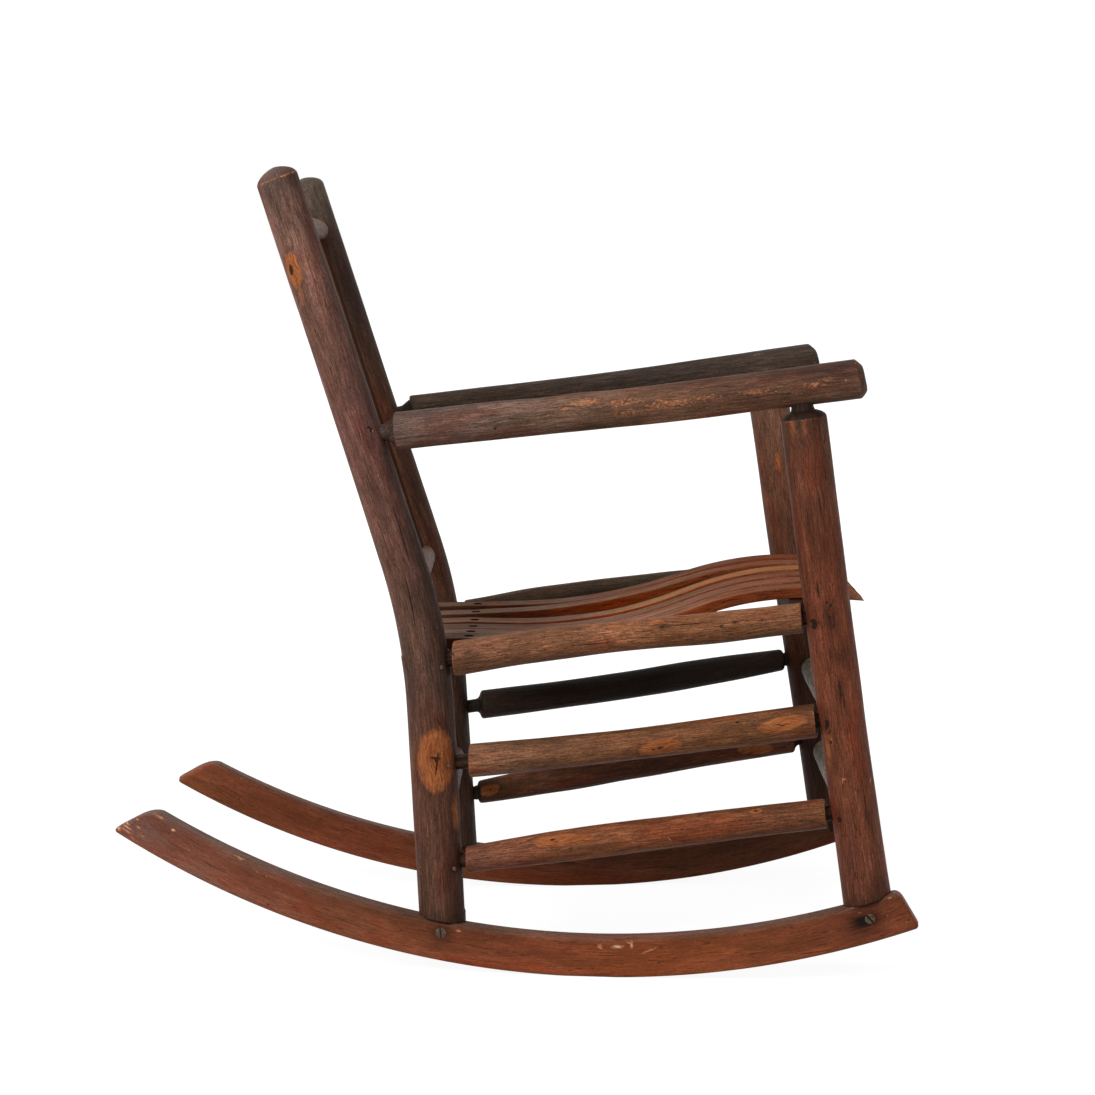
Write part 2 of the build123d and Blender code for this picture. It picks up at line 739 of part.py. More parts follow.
def all_nodes():
    """Every node of the chair by name."""
    nodes = {}
    rear_cross = [cross[n] for n in ("rear_seat_rail", "rear_stretcher", "back_top_rail", "back_lower_rail")]
    front_cross = [cross[n] for n in ("front_seat_rail", "front_upper_stretcher", "front_lower_stretcher")]
    for side in SIDES:
        end = 0 if side == "right" else 1
        own = [poles[side] for poles, _ in side_poles.values()]
        rear_cuts = [p.sockets(leg_radius)[0] for p in own + [arms[side]]]
        rear_cuts += [p.sockets(leg_radius)[end] for p in rear_cross]
        rear_cuts += [n.hole() for key, n in nails.items() if key[1:] == (side, "rear")]
        rear_cuts.append(feet[side, "rear"].screw_hole())
        front_cuts = [p.sockets(front_post_radius)[1] for p in own]
        front_cuts += [p.sockets(front_post_radius)[end] for p in front_cross]
        front_cuts += [n.hole() for key, n in nails.items() if key[1:] == (side, "front")]
        front_cuts.append(feet[side, "front"].screw_hole())
        nodes["rear_post_" + side] = without(rear_post(side), rear_cuts)
        nodes["front_post_" + side] = without(front_post(side), front_cuts)
        nodes["arm_" + side] = arms[side].solid() - arm_pin(side, socket_clearance, tip_clearance)
        for name, (poles, _) in side_poles.items():
            holes = [nails[name, side, "rear"].hole(), nails[name, side, "front"].hole()]
            nodes[f"{name}_{side}"] = without(poles[side].solid(), holes)
        runner_cuts = []
        for place in ("rear", "front"):
            foot = feet[side, place]
            runner_cuts += [foot.tenon(socket_clearance, tip_clearance), foot.screw_hole()]
        nodes["rocker_" + side] = without(runners[side].board(), runner_cuts)

    pockets = [back_slat(i, socket_clearance) for i in range(back_slat_count)]
    for name, pole in cross.items():
        cuts = pockets if name.startswith("back_") else []
        nodes[name] = without(pole.solid(), cuts)
    for index in range(back_slat_count):
        nodes[f"back_slat_{index + 1}"] = back_slat(index)

    blank = seat_slat()
    tops = slat_screw_tops()
    holes = [slat_screw_hole(top) for top in tops]
    screws = [slat_screw(top) for top in tops]
    blank = without(blank, holes)
    placed_holes, placed_screws = [], []
    for index in range(slat_count):
        place = slat_place(index)
        nodes[f"seat_slat_{index + 1}"] = place * blank
        placed_holes += [place * hole for hole in holes]
        placed_screws += [place * screw for screw in screws]
    run = front_axis("right", front_rail_z).X - rear_axis("right", rear_rail_z).X
    share = (front_axis("right", front_rail_z).X - batten_rear_x) / run
    front_top = slat_front_top - slat_front_drop(batten_front_x - batten_width / 2) - slat_thickness
    rear_top = slat_rear_line(batten_rear_x - batten_width / 2) - slat_thickness
    front_batten = batten(batten_front_x, front_top, slat_pitch_front, 0)
    rear_batten = batten(batten_rear_x, rear_top, slat_pitch_rear, share)
    nodes["seat_batten_front"] = without(front_batten, placed_holes)
    nodes["seat_batten_rear"] = without(rear_batten, placed_holes)
    nodes["seat_slat_screws"] = Compound(children=[solid for s in placed_screws for solid in s.solids()])
    nodes["rocker_screws"] = Compound(children=[solid for f in feet.values() for solid in f.screw().solids()])
    nodes["joint_nails"] = Compound(children=[solid for n in nails.values() for solid in n.solid().solids()])
    return nodes


os.makedirs("parts", exist_ok=True)
for node, shape in all_nodes().items():
    export_step(shape, f"parts/{node}.step")
    box = shape.bounding_box()
    print(f"{node:28s} {box.size.X:7.1f} {box.size.Y:7.1f} {box.size.Z:7.1f} mm")
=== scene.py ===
# %% [markdown]
# # A pole-built hickory rocking chair
# The real chair is made of young hickory stems with the bark taken off, sawn boards for the
# runners, and thin steamed boards for the seat. Everything was stained dark and varnished, and
# decades of hands and shoes have worn it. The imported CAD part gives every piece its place. This
# lesson dresses it: each stick gets its own slightly crooked skin and its own knots.

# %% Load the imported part
import math

import bpy
import numpy as np
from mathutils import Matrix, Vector


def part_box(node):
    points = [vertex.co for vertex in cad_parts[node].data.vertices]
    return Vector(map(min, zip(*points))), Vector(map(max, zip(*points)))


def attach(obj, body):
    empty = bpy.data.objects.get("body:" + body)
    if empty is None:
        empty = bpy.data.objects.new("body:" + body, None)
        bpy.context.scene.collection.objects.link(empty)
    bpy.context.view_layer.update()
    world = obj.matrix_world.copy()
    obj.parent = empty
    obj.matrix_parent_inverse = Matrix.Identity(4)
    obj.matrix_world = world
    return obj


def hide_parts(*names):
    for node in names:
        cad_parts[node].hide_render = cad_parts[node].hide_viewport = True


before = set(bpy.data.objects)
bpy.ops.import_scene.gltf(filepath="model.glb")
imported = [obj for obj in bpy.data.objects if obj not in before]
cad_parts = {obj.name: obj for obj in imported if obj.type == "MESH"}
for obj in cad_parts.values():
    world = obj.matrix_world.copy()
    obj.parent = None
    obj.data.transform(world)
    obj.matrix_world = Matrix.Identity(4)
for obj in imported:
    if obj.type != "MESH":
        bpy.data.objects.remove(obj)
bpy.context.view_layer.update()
print("nodes in the packed part:", len(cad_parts))

# %% [markdown]
# ## Small helpers
# Colours are written as sRGB hex values, as a paint chart gives them, and one function turns them
# to the linear values that a shader works with. One more function adds a shader node, sets its
# properties and feeds its inputs, so that every material below reads as a list of steps.

# %% Colour and node helpers
MM = 0.001


def linear(hex_colour):
    """sRGB hex to linear: each channel c is c/12.92 when dark, else ((c+0.055)/1.055)^2.4."""
    srgb = np.array([int(hex_colour[i:i + 2], 16) for i in (0, 2, 4)]) / 255
    return np.where(srgb <= 0.04045, srgb / 12.92, ((srgb + 0.055) / 1.055) ** 2.4)


MATH, VECTOR, NOISE, STEP, BLEND = ("ShaderNodeMath", "ShaderNodeVectorMath", "ShaderNodeTexNoise",
                                     "ShaderNodeMapRange", "ShaderNodeMix")
TIMES, LARGER, SUM = dict(operation="MULTIPLY"), dict(operation="MAXIMUM"), dict(operation="MULTIPLY_ADD")
SOFT, COLOUR = dict(interpolation_type="SMOOTHSTEP"), dict(data_type="RGBA", out=2)


def add(tree, kind, inputs=(), out=0, **settings):
    """Add one node, set its properties and feed its inputs, in order or by name; return one output.

    A socket is linked, a hex colour is turned to linear, and any other value is set. With out
    None the node itself is returned.
    """
    node = tree.nodes.new(kind)
    for name, value in settings.items():
        setattr(node, name, value)
    for key, value in (inputs.items() if isinstance(inputs, dict) else enumerate(inputs)):
        if isinstance(value, bpy.types.NodeSocket):
            tree.links.new(value, node.inputs[key])
        else:
            node.inputs[key].default_value = (*linear(value), 1) if isinstance(value, str) else value
    return node if out is None else node.outputs[out]


print("stain brown in linear light:", linear("6B4132").round(3))

# %% [markdown]
# ## A skin for round stock
# A stem is nearly a cylinder, but not quite: it bends a little, it is a little out of round, and
# fibres stand up along it as fine ridges. The skin is a grid of two parameters. One runs along
# the stem, over its cut ends and tenons as a lathe profile does. The other runs round it. Sums
# of sines with a seeded phase give each stem its own bend and ridges.

# %% Mesh from a grid of rings
def ring_mesh(name, rings, fields):
    """Closed mesh from rings of points; the first and last ring are one point each.

    rings has the shape (along, around, 3). Neighbouring rings are joined by quads, and the two
    end points by fans of triangles. fields are per-point values, stored as named attributes.
    """
    along, around = rings.shape[:2]
    inner = rings[1:-1].reshape(-1, 3)
    points = np.vstack([rings[0, :1], inner, rings[-1, :1]])
    row = np.arange(along - 3)[:, None] * around + 1
    here = np.arange(around)[None, :]
    beside = (here + 1) % around
    quads = np.stack([row + here, row + beside, row + around + beside, row + around + here], axis=-1)
    last = len(points) - 1
    top = 1 + (along - 3) * around
    first_fan = np.stack([0 * here[0], 1 + beside[0], 1 + here[0]], axis=-1)
    last_fan = np.stack([0 * here[0] + last, top + here[0], top + beside[0]], axis=-1)
    mesh = bpy.data.meshes.new(name)
    faces = quads.reshape(-1, 4).tolist() + first_fan.tolist() + last_fan.tolist()
    mesh.from_pydata(points.tolist(), [], faces)
    for key, (kind, values) in fields.items():
        size = values.shape[-1]
        flat = np.vstack([values[0, :1], values[1:-1].reshape(-1, size), values[-1, :1]])
        layer = mesh.attributes.new(key, kind, "POINT")
        channel = "vector" if kind == "FLOAT_VECTOR" else "color"
        layer.data.foreach_set(channel, flat.ravel().astype(np.float32))
    mesh.shade_smooth()
    mesh.validate()
    mesh.update()
    piece = bpy.data.objects.new(name, mesh)
    bpy.context.scene.collection.objects.link(piece)
    return piece


def eased(x, keys, values):
    """Smooth curve through a few (key, value) pairs: cubic pieces with matching slopes."""
    keys, values = np.asarray(keys, float), np.asarray(values, float)
    slopes = np.gradient(values, keys)
    i = np.clip(np.searchsorted(keys, x) - 1, 0, len(keys) - 2)
    width = keys[i + 1] - keys[i]
    t = np.clip((x - keys[i]) / width, 0, 1)
    a, b = values[i], values[i + 1]
    m, n = slopes[i] * width, slopes[i + 1] * width
    leaving = (2 * t**3 - 3 * t**2 + 1) * a + (t**3 - 2 * t**2 + t) * m
    return leaving + (3 * t**2 - 2 * t**3) * b + (t**3 - t**2) * n


print("eased curve through 0, 1, 0:", eased(np.array([0.25, 0.5, 0.75]), (0, 0.5, 1), (0, 1, 0)).round(2))

# %% [markdown]
# ## Marks in the wood
# Knots, cracks, worn places, grime and painted shade belong to one stick each, at one place on
# it. Each is an oval on the skin, given by its distance along the stick, its angle, and its
# size. The mesh carries four soft numbers for the shader: how near the next orange knot is, how
# near the next dark spot is, how worn the place is, and how dark it is from grime and painted shade.

# %% Fields of ovals on a skin
def oval_distance(along, across, ovals):
    """Distance to the nearest oval, 0 at its middle and 1 on its rim, at most 2.

    An oval is (place, offset, length, width, tilt in radians). A sixth number changes its
    strength: a distance d becomes 1.2 - (1.2 - d) times that number, so below 1 it is faint.
    """
    nearest = np.full(np.broadcast(along, across).shape, 2.0)
    for place, offset, length, width, tilt, *depth in ovals:
        x, y = along - place, across - offset
        u = x * math.cos(tilt) + y * math.sin(tilt)
        v = y * math.cos(tilt) - x * math.sin(tilt)
        distance = np.sqrt((u / length) ** 2 + (v / width) ** 2)
        nearest = np.minimum(nearest, 1.2 - (1.2 - distance) * (depth[0] if depth else 1))
    return nearest


def soft_patches(along, across, patches):
    """Largest of a few bell-shaped patches, each exp(-(x/length)^2 - (y/width)^2) times its strength.

    A sixth number turns a patch by that angle in radians.
    """
    strongest = np.zeros(np.broadcast(along, across).shape)
    for place, offset, length, width, strength, *tilt in patches:
        turn = tilt[0] if tilt else 0.0
        x, y = along - place, across - offset
        u, v = x * math.cos(turn) + y * math.sin(turn), y * math.cos(turn) - x * math.sin(turn)
        strongest = np.maximum(strongest, strength * np.exp(-(u / length) ** 2 - (v / width) ** 2))
    return strongest


def mark_fields(along, across, base_tint, dash=0.6, knots=(), spots=(), worn=(), grime_and_shade=()):
    """Pack the four mark numbers, the stick's own tint and the strength of its dark dashes."""
    marks = np.stack([oval_distance(along, across, knots) / 2, oval_distance(along, across, spots) / 2,
                      soft_patches(along, across, worn), soft_patches(along, across, grime_and_shade)], axis=-1)
    tint = np.concatenate([base_tint, dash + 0 * base_tint[..., :1]], axis=-1)
    return {"marks": ("FLOAT_COLOR", marks), "tint": ("FLOAT_COLOR", tint)}


def tint_along(s, stops):
    """Linear colour along a stick, blended between a few (place, hex) stops."""
    places = [place for place, _ in stops]
    colours = np.array([linear(colour) for _, colour in stops])
    return np.stack([np.interp(s, places, colours[:, k]) for k in range(3)], axis=-1)


print("a point on an oval's rim:", oval_distance(np.array([3.0]), np.array([0.0]), [(0, 0, 3, 1, 0)]))

# %% [markdown]
# ## One stem
# A stem is described as a turner would: the line that its heart follows, its radius along that
# line, and a profile for each end. Angles start at the sitter's left, which is +Y, so 180 degrees
# looks to the right side. On a side rung 90 degrees looks up, and on a post it looks back. On a
# stem that runs across the chair the angles start at the front, and 90 degrees looks down.

# %% Stem builder
# Lengths: how far a tilted cut fades, a worn rim's width, a lump's sharp side, the soft edge of the painted
# joint shade.
CUT_FADE, RIM_WIDTH, LUMP_EDGE, PAST_EDGE = 0.03, 0.0019, 0.0015, 0.0006


def section_frame(heart, place, reference, reach):
    """Points on a heart line and two unit vectors square to it; the first leans to the reference.

    The line's direction is the difference of its points a short reach ahead and behind.
    """
    tangent = heart(place + reach) - heart(place - reach)
    tangent /= np.linalg.norm(tangent, axis=-1, keepdims=True)
    a = np.array(reference, float) - tangent * (tangent @ np.array(reference, float))[..., None]
    a /= np.linalg.norm(a, axis=-1, keepdims=True)
    return heart(place), a, np.cross(tangent, a)


def stem(name, node, slot, heart, radius, length, profile_start, profile_end, tints, seed,
         reference=(0, 1, 0), around=96, step=2.0, wobble=0.5, ridge=0.16, cut_start=(0, 0), cut_end=(0, 0),
         past=(0.8, 0.8), lumps=(), dash=0.6, shade=(0, 0), focus=0.3, worn_rims=(0.66, 0.66), **marks):
    """A closed skin round a heart line.

    heart(s) gives points for distances s in metres from the start of the body, and may run past
    both ends. A profile is a list of (distance past the end, radius) in millimetres, from the
    body outwards. Each point is heart + r (a cos t + b sin t), with a and b square to the heart.
    r is the body's radius plus wobble mm of slow waves and ridge mm of fine ridges, which are
    sums of seeded sines. A cut tilts an end: the distance grows by r (p cos t + q sin t), fading
    out over CUT_FADE. The grid has around points round the stem and a ring each step mm. Points
    crowd by focus where t is 180 degrees.

    lumps are (place, angle, length, width in degrees, height in mm). Each is a bell, cut off
    sharply on its far side when its length is negative. past is a painted shade beyond each end,
    the dark of the joint gaps, and worn_rims the wear on the two cut edges. shade is (depth,
    angle): the colour grows darker by depth towards the side that faces away from that angle, a
    painted light and shade, on the right arm together with its aged top. dash is the strength of
    the dark pores. marks are knots, spots, worn and grime_and_shade, which start with a place in
    metres and an angle in degrees. grime_and_shade holds real grime and painted shade.
    """
    rng = np.random.default_rng(seed)
    count = int(length / (step * MM)) + 2
    start = np.array(profile_start[::-1]) * MM
    end = np.array(profile_end) * MM
    first, last = -start[-1, 0], length + end[0, 0]
    body = np.linspace(first, last, count)[1:-1]
    s = np.concatenate([-start[:, 0], body, length + end[:, 0]])[:, None]
    r = np.concatenate([start[:, 1], radius(body), end[:, 1]])[:, None]
    skin = np.concatenate([start[:, 1] * 0, np.ones(len(body)), end[:, 1] * 0])[:, None]
    share = np.clip(s / length, 0, 1)
    outer = np.minimum(r / radius(np.clip(s, 0, length)), 1) ** 8
    skin = np.maximum(skin, outer)
    t = np.linspace(0, 2 * np.pi, around, endpoint=False)[None, :]
    t = t + focus * np.sin(t)

    # Waves first, then ridges: the order of the random draws decides the stem's character.
    slow = sum(rng.normal(0, 0.35 / k) * np.sin(k * t + rng.uniform(0, 6.3) + rng.uniform(-1, 1) * 6 * share)
               for k in (2, 3, 4))
    slow = slow + sum(rng.normal(0, 0.4) * np.sin(2 * np.pi * share * f + rng.uniform(0, 6.3))
                      for f in (1.3, 2.6, 4.1))
    fine = sum(rng.normal(0, 1) * np.sin(k * t + rng.uniform(0, 6.3) + rng.uniform(1, 3) * np.sin(
        2 * np.pi * s / rng.uniform(0.12, 0.4) + rng.uniform(0, 6.3))) for k in rng.integers(9, 40, 12)) / 4
    bumps = 0 * s * t
    for place, angle, size, width, height in lumps:
        away = s - place
        fade = (away / size) ** 2
        if size < 0:
            fade = np.where(away < 0, away / size, (away / LUMP_EDGE) ** 2)
        bumps = bumps + height * np.exp(-fade - ((np.degrees(t) - angle) / width) ** 2)
    r = r + skin * (wobble * slow + ridge * fine + bumps) * MM

    fade_start = np.clip(1 - s / CUT_FADE, 0, 1) ** 2
    fade_end = np.clip(1 - (length - s) / CUT_FADE, 0, 1) ** 2
    tilt_start = r * (cut_start[0] * np.cos(t) + cut_start[1] * np.sin(t))
    tilt_end = r * (cut_end[0] * np.cos(t) + cut_end[1] * np.sin(t))
    placed = s + fade_start * tilt_start + fade_end * tilt_end
    sway = sum(rng.normal(0, 0.3) * np.sin(np.pi * share * f) * np.sin(np.pi * share) for f in (1, 2, 3))
    sway = sway * wobble * MM
    centre, a, b = section_frame(heart, placed, reference, 0.001)
    outward = a * np.cos(t)[..., None] + b * np.sin(t)[..., None]
    rings = centre + r[..., None] * outward + sway[..., None] * b

    def on_skin(mark):
        """The mark with its place and angle turned to mm along the stem and mm round it."""
        place, degrees = mark[:2]
        return (place * 1000, math.radians(degrees) * float(radius(np.array(place))) / MM, *mark[2:])

    turned = {key: [on_skin(mark) for mark in value] for key, value in marks.items()}
    angle = np.degrees(t) + 0 * s
    across = np.radians(angle) * np.maximum(radius(np.clip(s, 0, length)), 1e-4) / MM
    along_mm = placed / MM
    # The grain swirls round a knot.
    knots = oval_distance(along_mm, across, turned.get("knots", ()))
    swirl = 0.35 * np.exp(-(knots / 1.1) ** 2) * np.sin(along_mm / 9)
    grain_angle = t + swirl * 0.5
    wood = np.stack([placed + seed * 1.7, r * np.cos(grain_angle), r * np.sin(grain_angle)], axis=-1)
    tint = tint_along(placed[:, :1] + 0 * t, tints)
    # Painted light and shade: the tint darkens by shade[0] towards the side away from the angle shade[1].
    tint = tint * (1 + shade[0] * np.cos(t - math.radians(shade[1])))[..., None]
    fields = mark_fields(along_mm, across, tint, dash, **turned)
    fields["wood"] = ("FLOAT_VECTOR", wood)

    # The cut edges are worn, and what lies past them gets a painted shade, the dark of the joint gaps.
    strengths = fields["marks"][1]
    rims = worn_rims[0] * np.exp(-((s - first) / RIM_WIDTH) ** 2)
    rims = rims + worn_rims[1] * np.exp(-((s - last) / RIM_WIDTH) ** 2)
    strengths[..., 2] = np.maximum(strengths[..., 2], rims * outer)
    beyond = past[0] * np.clip((first - s) / PAST_EDGE, 0, 1)
    beyond = beyond + past[1] * np.clip((s - last) / PAST_EDGE, 0, 1)
    strengths[..., 3] = np.maximum(strengths[..., 3], beyond)
    piece = ring_mesh(name, rings, fields)
    dress(piece, node, slot)
    return piece


def dress(piece, node, slot):
    """Hang the piece on the root body, hide the packed node that it replaces, and give it the finish of its
    slot.
    """
    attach(piece, "root")
    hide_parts(node)
    piece.data.materials.append(finish[slot])
    print(f"{piece.name}: {len(piece.data.polygons)} faces")


post_angles = section_frame(lambda s: np.array([0.0, 0.0, 1.0]) * s, np.array([0.5]), (0, 1, 0), MM)
print("on a post 0 degrees looks along", post_angles[1].round(2), "and 90 degrees along",
      post_angles[2].round(2))

# %% [markdown]
# ## Stained hickory
# Hickory is a coarse, open-grained wood. A peeled stem shows its fibres as fine lines along it.
# The stain sank into the soft lines and the varnish lies over them, so the colour is streaky and
# the gloss is low and broken. One recipe serves stems and boards: three layers of noise, drawn
# out along the grain, darken and lighten the stick's own tint. Knots, wear, grime and painted
# shade lie on top.

# %% The wood recipe
def stained_wood(name, fibre, streak, contrast, gloss, bump, shine=0.10):
    """Stained and varnished wood.

    fibre and streak are the widths in mm of its fine and broad lines. contrast scales the
    streaks, gloss is the middle roughness, bump the relief in mm and shine the specular level.
    """
    material = bpy.data.materials.new(name)
    material.use_nodes = True
    tree = material.node_tree
    shader = tree.nodes["Principled BSDF"]
    wood = add(tree, "ShaderNodeAttribute", out="Vector", attribute_name="wood")
    marks = add(tree, "ShaderNodeAttribute", out=None, attribute_name="marks")
    fields = add(tree, "ShaderNodeSeparateColor", {"Color": marks.outputs["Color"]}, out=None)
    knot_field, spot_field, wear_field = fields.outputs
    tint = add(tree, "ShaderNodeAttribute", out=None, attribute_name="tint")

    # Noises drawn out along the grain: size along and across in mm, detail, roughness, distortion.
    noises = {
        "fine": (fibre * 18, fibre * 0.66, 3.5, 0.65, 0.4),
        "broad": (streak * 9, streak, 3.0, 0.6, 0.8),
        "cloud": (70, 17, 3.0, 0.6, 0),
        "grit": (2.8, 0.9, 2.5, 0.7, 0),
        "pore": (fibre * 11, fibre * 0.62, 2.0, 0.6, 0.3),
        "hue": (120, 30, 2.0, 0.55, 0),
        "groove": (110, 5.0, 2.0, 0.5, 1.0),
        "ragged": (9, 3.5, 4.0, 0.55, 0),
        "rub": (3.6, 1.6, 4.0, 0.75, 0.4),
        "edge": (3, 1.6, 2.0, 0.55, 0),
    }
    n = {}
    for key, (along, across, detail, rough, distortion) in noises.items():
        drawn = add(tree, VECTOR, (wood, (1000 / along, 1000 / across, 1000 / across)), **TIMES)
        inputs = {"Vector": drawn, "Scale": 1.0, "Detail": detail, "Roughness": rough,
                  "Distortion": distortion}
        n[key] = add(tree, NOISE, inputs)

    # The layers multiply the tint, as stain does that sinks deeper into some fibres than others.
    level = add(tree, STEP, (n["fine"], 0.30, 0.70, 1 - 0.54 * contrast, 1 + 0.54 * contrast))
    for key, depth in (("broad", 0.26), ("cloud", 0.30), ("grit", 0.46)):
        share = add(tree, STEP, (n[key], 0.30, 0.70, 1 - depth * contrast, 1 + depth * contrast))
        level = add(tree, MATH, (level, share), **TIMES)
    colour = add(tree, VECTOR, {0: tint.outputs["Color"], "Scale": level}, operation="SCALE")
    # Broad clouds lean towards red or towards grey, because the stain took unevenly.
    for low, high, most, lean in ((0.50, 0.64, 0.55, "F6BFA6"), (0.50, 0.37, 0.55, "C8CCBC")):
        share = add(tree, STEP, (n["hue"], low, high, 0.0, most), **SOFT)
        colour = add(tree, BLEND, {0: share, 6: colour, 7: lean}, blend_type="MULTIPLY", **COLOUR)
    # Long drying grooves follow the contour of a stretched noise; short dashes are open pores.
    off_line = add(tree, MATH, (n["groove"], 0.5), operation="SUBTRACT")
    off_line = add(tree, MATH, (off_line,), operation="ABSOLUTE")
    groove = add(tree, STEP, (off_line, 0.022, 0.006), **SOFT)
    broken = add(tree, STEP, (n["broad"], 0.42, 0.60), **SOFT)
    groove = add(tree, MATH, (groove, broken), **TIMES)
    pores = add(tree, STEP, (n["pore"], 0.46, 0.36), **SOFT)
    pores = add(tree, MATH, (pores, tint.outputs["Alpha"]), **TIMES)
    crowded = add(tree, STEP, (n["cloud"], 0.35, 0.6, 0.45, 1.0), **SOFT)
    pores = add(tree, MATH, (pores, crowded), **TIMES)
    dark_line = add(tree, MATH, (groove, pores), **LARGER)
    share = add(tree, MATH, (dark_line, 0.72), **TIMES)
    colour = add(tree, BLEND, {0: share, 6: colour, 7: "1C100A"}, **COLOUR)

    # Knots: an orange oval with faint growth rings, fibres that still run through it, a dark rim.
    double = add(tree, MATH, (knot_field, 2.0), **TIMES)
    jitter = add(tree, MATH, (n["ragged"], 0.5), operation="SUBTRACT")
    ragged = add(tree, MATH, (jitter, 0.5, double), **SUM)
    knot = add(tree, STEP, (ragged, 1.08, 0.78), **SOFT)
    ring = add(tree, MATH, (ragged, 32.0), **TIMES)
    ring = add(tree, MATH, (ring,), operation="SINE")
    share = add(tree, STEP, (ragged, 0.2, 0.95))
    knot_wood = add(tree, BLEND, {0: share, 6: "98552D", 7: "A05C34"}, **COLOUR)
    layers = ((ring, 0.1, 1.0, 0.42, "5A2C16"), (n["cloud"], 0.50, 0.62, 0.55, "7E3A1E"),
              (n["pore"], 0.52, 0.38, 0.7, "4E2814"), (n["fine"], 0.50, 0.68, 0.5, "C8864A"))
    for source, low, high, most, over in layers:
        share = add(tree, STEP, (source, low, high, 0.0, most), **SOFT)
        knot_wood = add(tree, BLEND, {0: share, 6: knot_wood, 7: over}, **COLOUR)
    inside = add(tree, STEP, (ragged, 0.9, 1.04), **SOFT)
    outside = add(tree, STEP, (ragged, 1.4, 1.08), **SOFT)
    rim = add(tree, MATH, (inside, outside), **TIMES)
    broken = add(tree, STEP, (n["broad"], 0.38, 0.6, 0.0, 0.35), **SOFT)
    rim = add(tree, MATH, (rim, broken), **TIMES)
    colour = add(tree, BLEND, {0: rim, 6: colour, 7: "2A1710"}, **COLOUR)
    share = add(tree, MATH, (knot, 0.9), **TIMES)
    colour = add(tree, BLEND, {0: share, 6: colour, 7: knot_wood}, **COLOUR)
    # Worn places: varnish and stain are rubbed off the high fibres first.
    jitter = add(tree, MATH, (n["rub"], 0.5), operation="SUBTRACT")
    rubbed = add(tree, MATH, (jitter, 1.9, wear_field), **SUM)
    rubbed = add(tree, STEP, (rubbed, 0.50, 0.74), **SOFT)
    allowed = add(tree, STEP, (wear_field, 0.03, 0.30), **SOFT)
    rubbed = add(tree, MATH, (rubbed, allowed), **TIMES)
    share = add(tree, STEP, (n["grit"], 0.40, 0.66), **SOFT)
    bare = add(tree, BLEND, {0: share, 6: "8C4F32", 7: "BB845E"}, **COLOUR)
    share = add(tree, STEP, (wear_field, 0.98, 1.12), **SOFT)
    bare = add(tree, BLEND, {0: share, 6: bare, 7: "C8B2A0"}, **COLOUR)
    share = add(tree, MATH, (rubbed, 0.9), **TIMES)
    colour = add(tree, BLEND, {0: share, 6: colour, 7: bare}, **COLOUR)
    # Dark spots and cracks, then grime and painted shade in one dark brown.
    double = add(tree, MATH, (spot_field, 2.0), **TIMES)
    jitter = add(tree, MATH, (n["edge"], 0.5), operation="SUBTRACT")
    spot = add(tree, MATH, (jitter, 0.5, double), **SUM)
    spotted = add(tree, STEP, (spot, 1.05, 0.70), **SOFT)
    share = add(tree, MATH, (spotted, 0.9), **TIMES)
    colour = add(tree, BLEND, {0: share, 6: colour, 7: "190E09"}, **COLOUR)
    patchy = add(tree, STEP, (n["broad"], 0.25, 0.65, 1.15, 0.75), **SOFT)
    grime_and_shade_share = add(tree, MATH, (marks.outputs["Alpha"], patchy), **TIMES)
    colour = add(tree, BLEND, {0: grime_and_shade_share, 6: colour, 7: "18100C"}, **COLOUR)
    tree.links.new(colour, shader.inputs["Base Color"])

    # The gloss follows the fibres, and the relief sinks at grooves, rubs and spots.
    rough = add(tree, STEP, (n["fine"], 0.3, 0.7, gloss + 0.08, gloss - 0.06), **SOFT)
    rough = add(tree, MATH, (rubbed, 0.12, rough), **SUM)
    tree.links.new(rough, shader.inputs["Roughness"])
    shader.inputs["IOR"].default_value = 1.5
    shader.inputs["Specular IOR Level"].default_value = shine
    height = add(tree, MATH, (n["broad"], 0.8), **TIMES)
    height = add(tree, MATH, (n["fine"], 0.55, height), **SUM)
    for source, depth in ((dark_line, -0.35), (rubbed, -0.12), (spotted, -0.6)):
        height = add(tree, MATH, (source, depth, height), **SUM)
    relief = add(tree, "ShaderNodeBump", {"Height": height, "Strength": 1.0, "Distance": bump * MM})
    tree.links.new(relief, shader.inputs["Normal"])
    return material


def dark_steel(name, base, rust, gloss, metal=0.55):
    """Old steel, blackened by oil and tannin, with a little rust in the hollows."""
    material = bpy.data.materials.new(name)
    material.use_nodes = True
    tree = material.node_tree
    shader = tree.nodes["Principled BSDF"]
    place = add(tree, "ShaderNodeTexCoord", out="Object")
    speckle = add(tree, NOISE, {"Vector": place, "Scale": 700.0, "Detail": 3.0})
    share = add(tree, STEP, (speckle, 0.4, 0.65))
    colour = add(tree, BLEND, {0: share, 6: base, 7: rust}, **COLOUR)
    tree.links.new(colour, shader.inputs["Base Color"])
    rough = add(tree, STEP, (speckle, 0.0, 1.0, gloss, gloss + 0.25))
    tree.links.new(rough, shader.inputs["Roughness"])
    dent = add(tree, "ShaderNodeBump", {"Height": speckle, "Strength": 0.5, "Distance": 0.15 * MM})
    tree.links.new(dent, shader.inputs["Normal"])
    shader.inputs["Metallic"].default_value = metal
    shader.inputs["Specular IOR Level"].default_value = 0.1
    return material


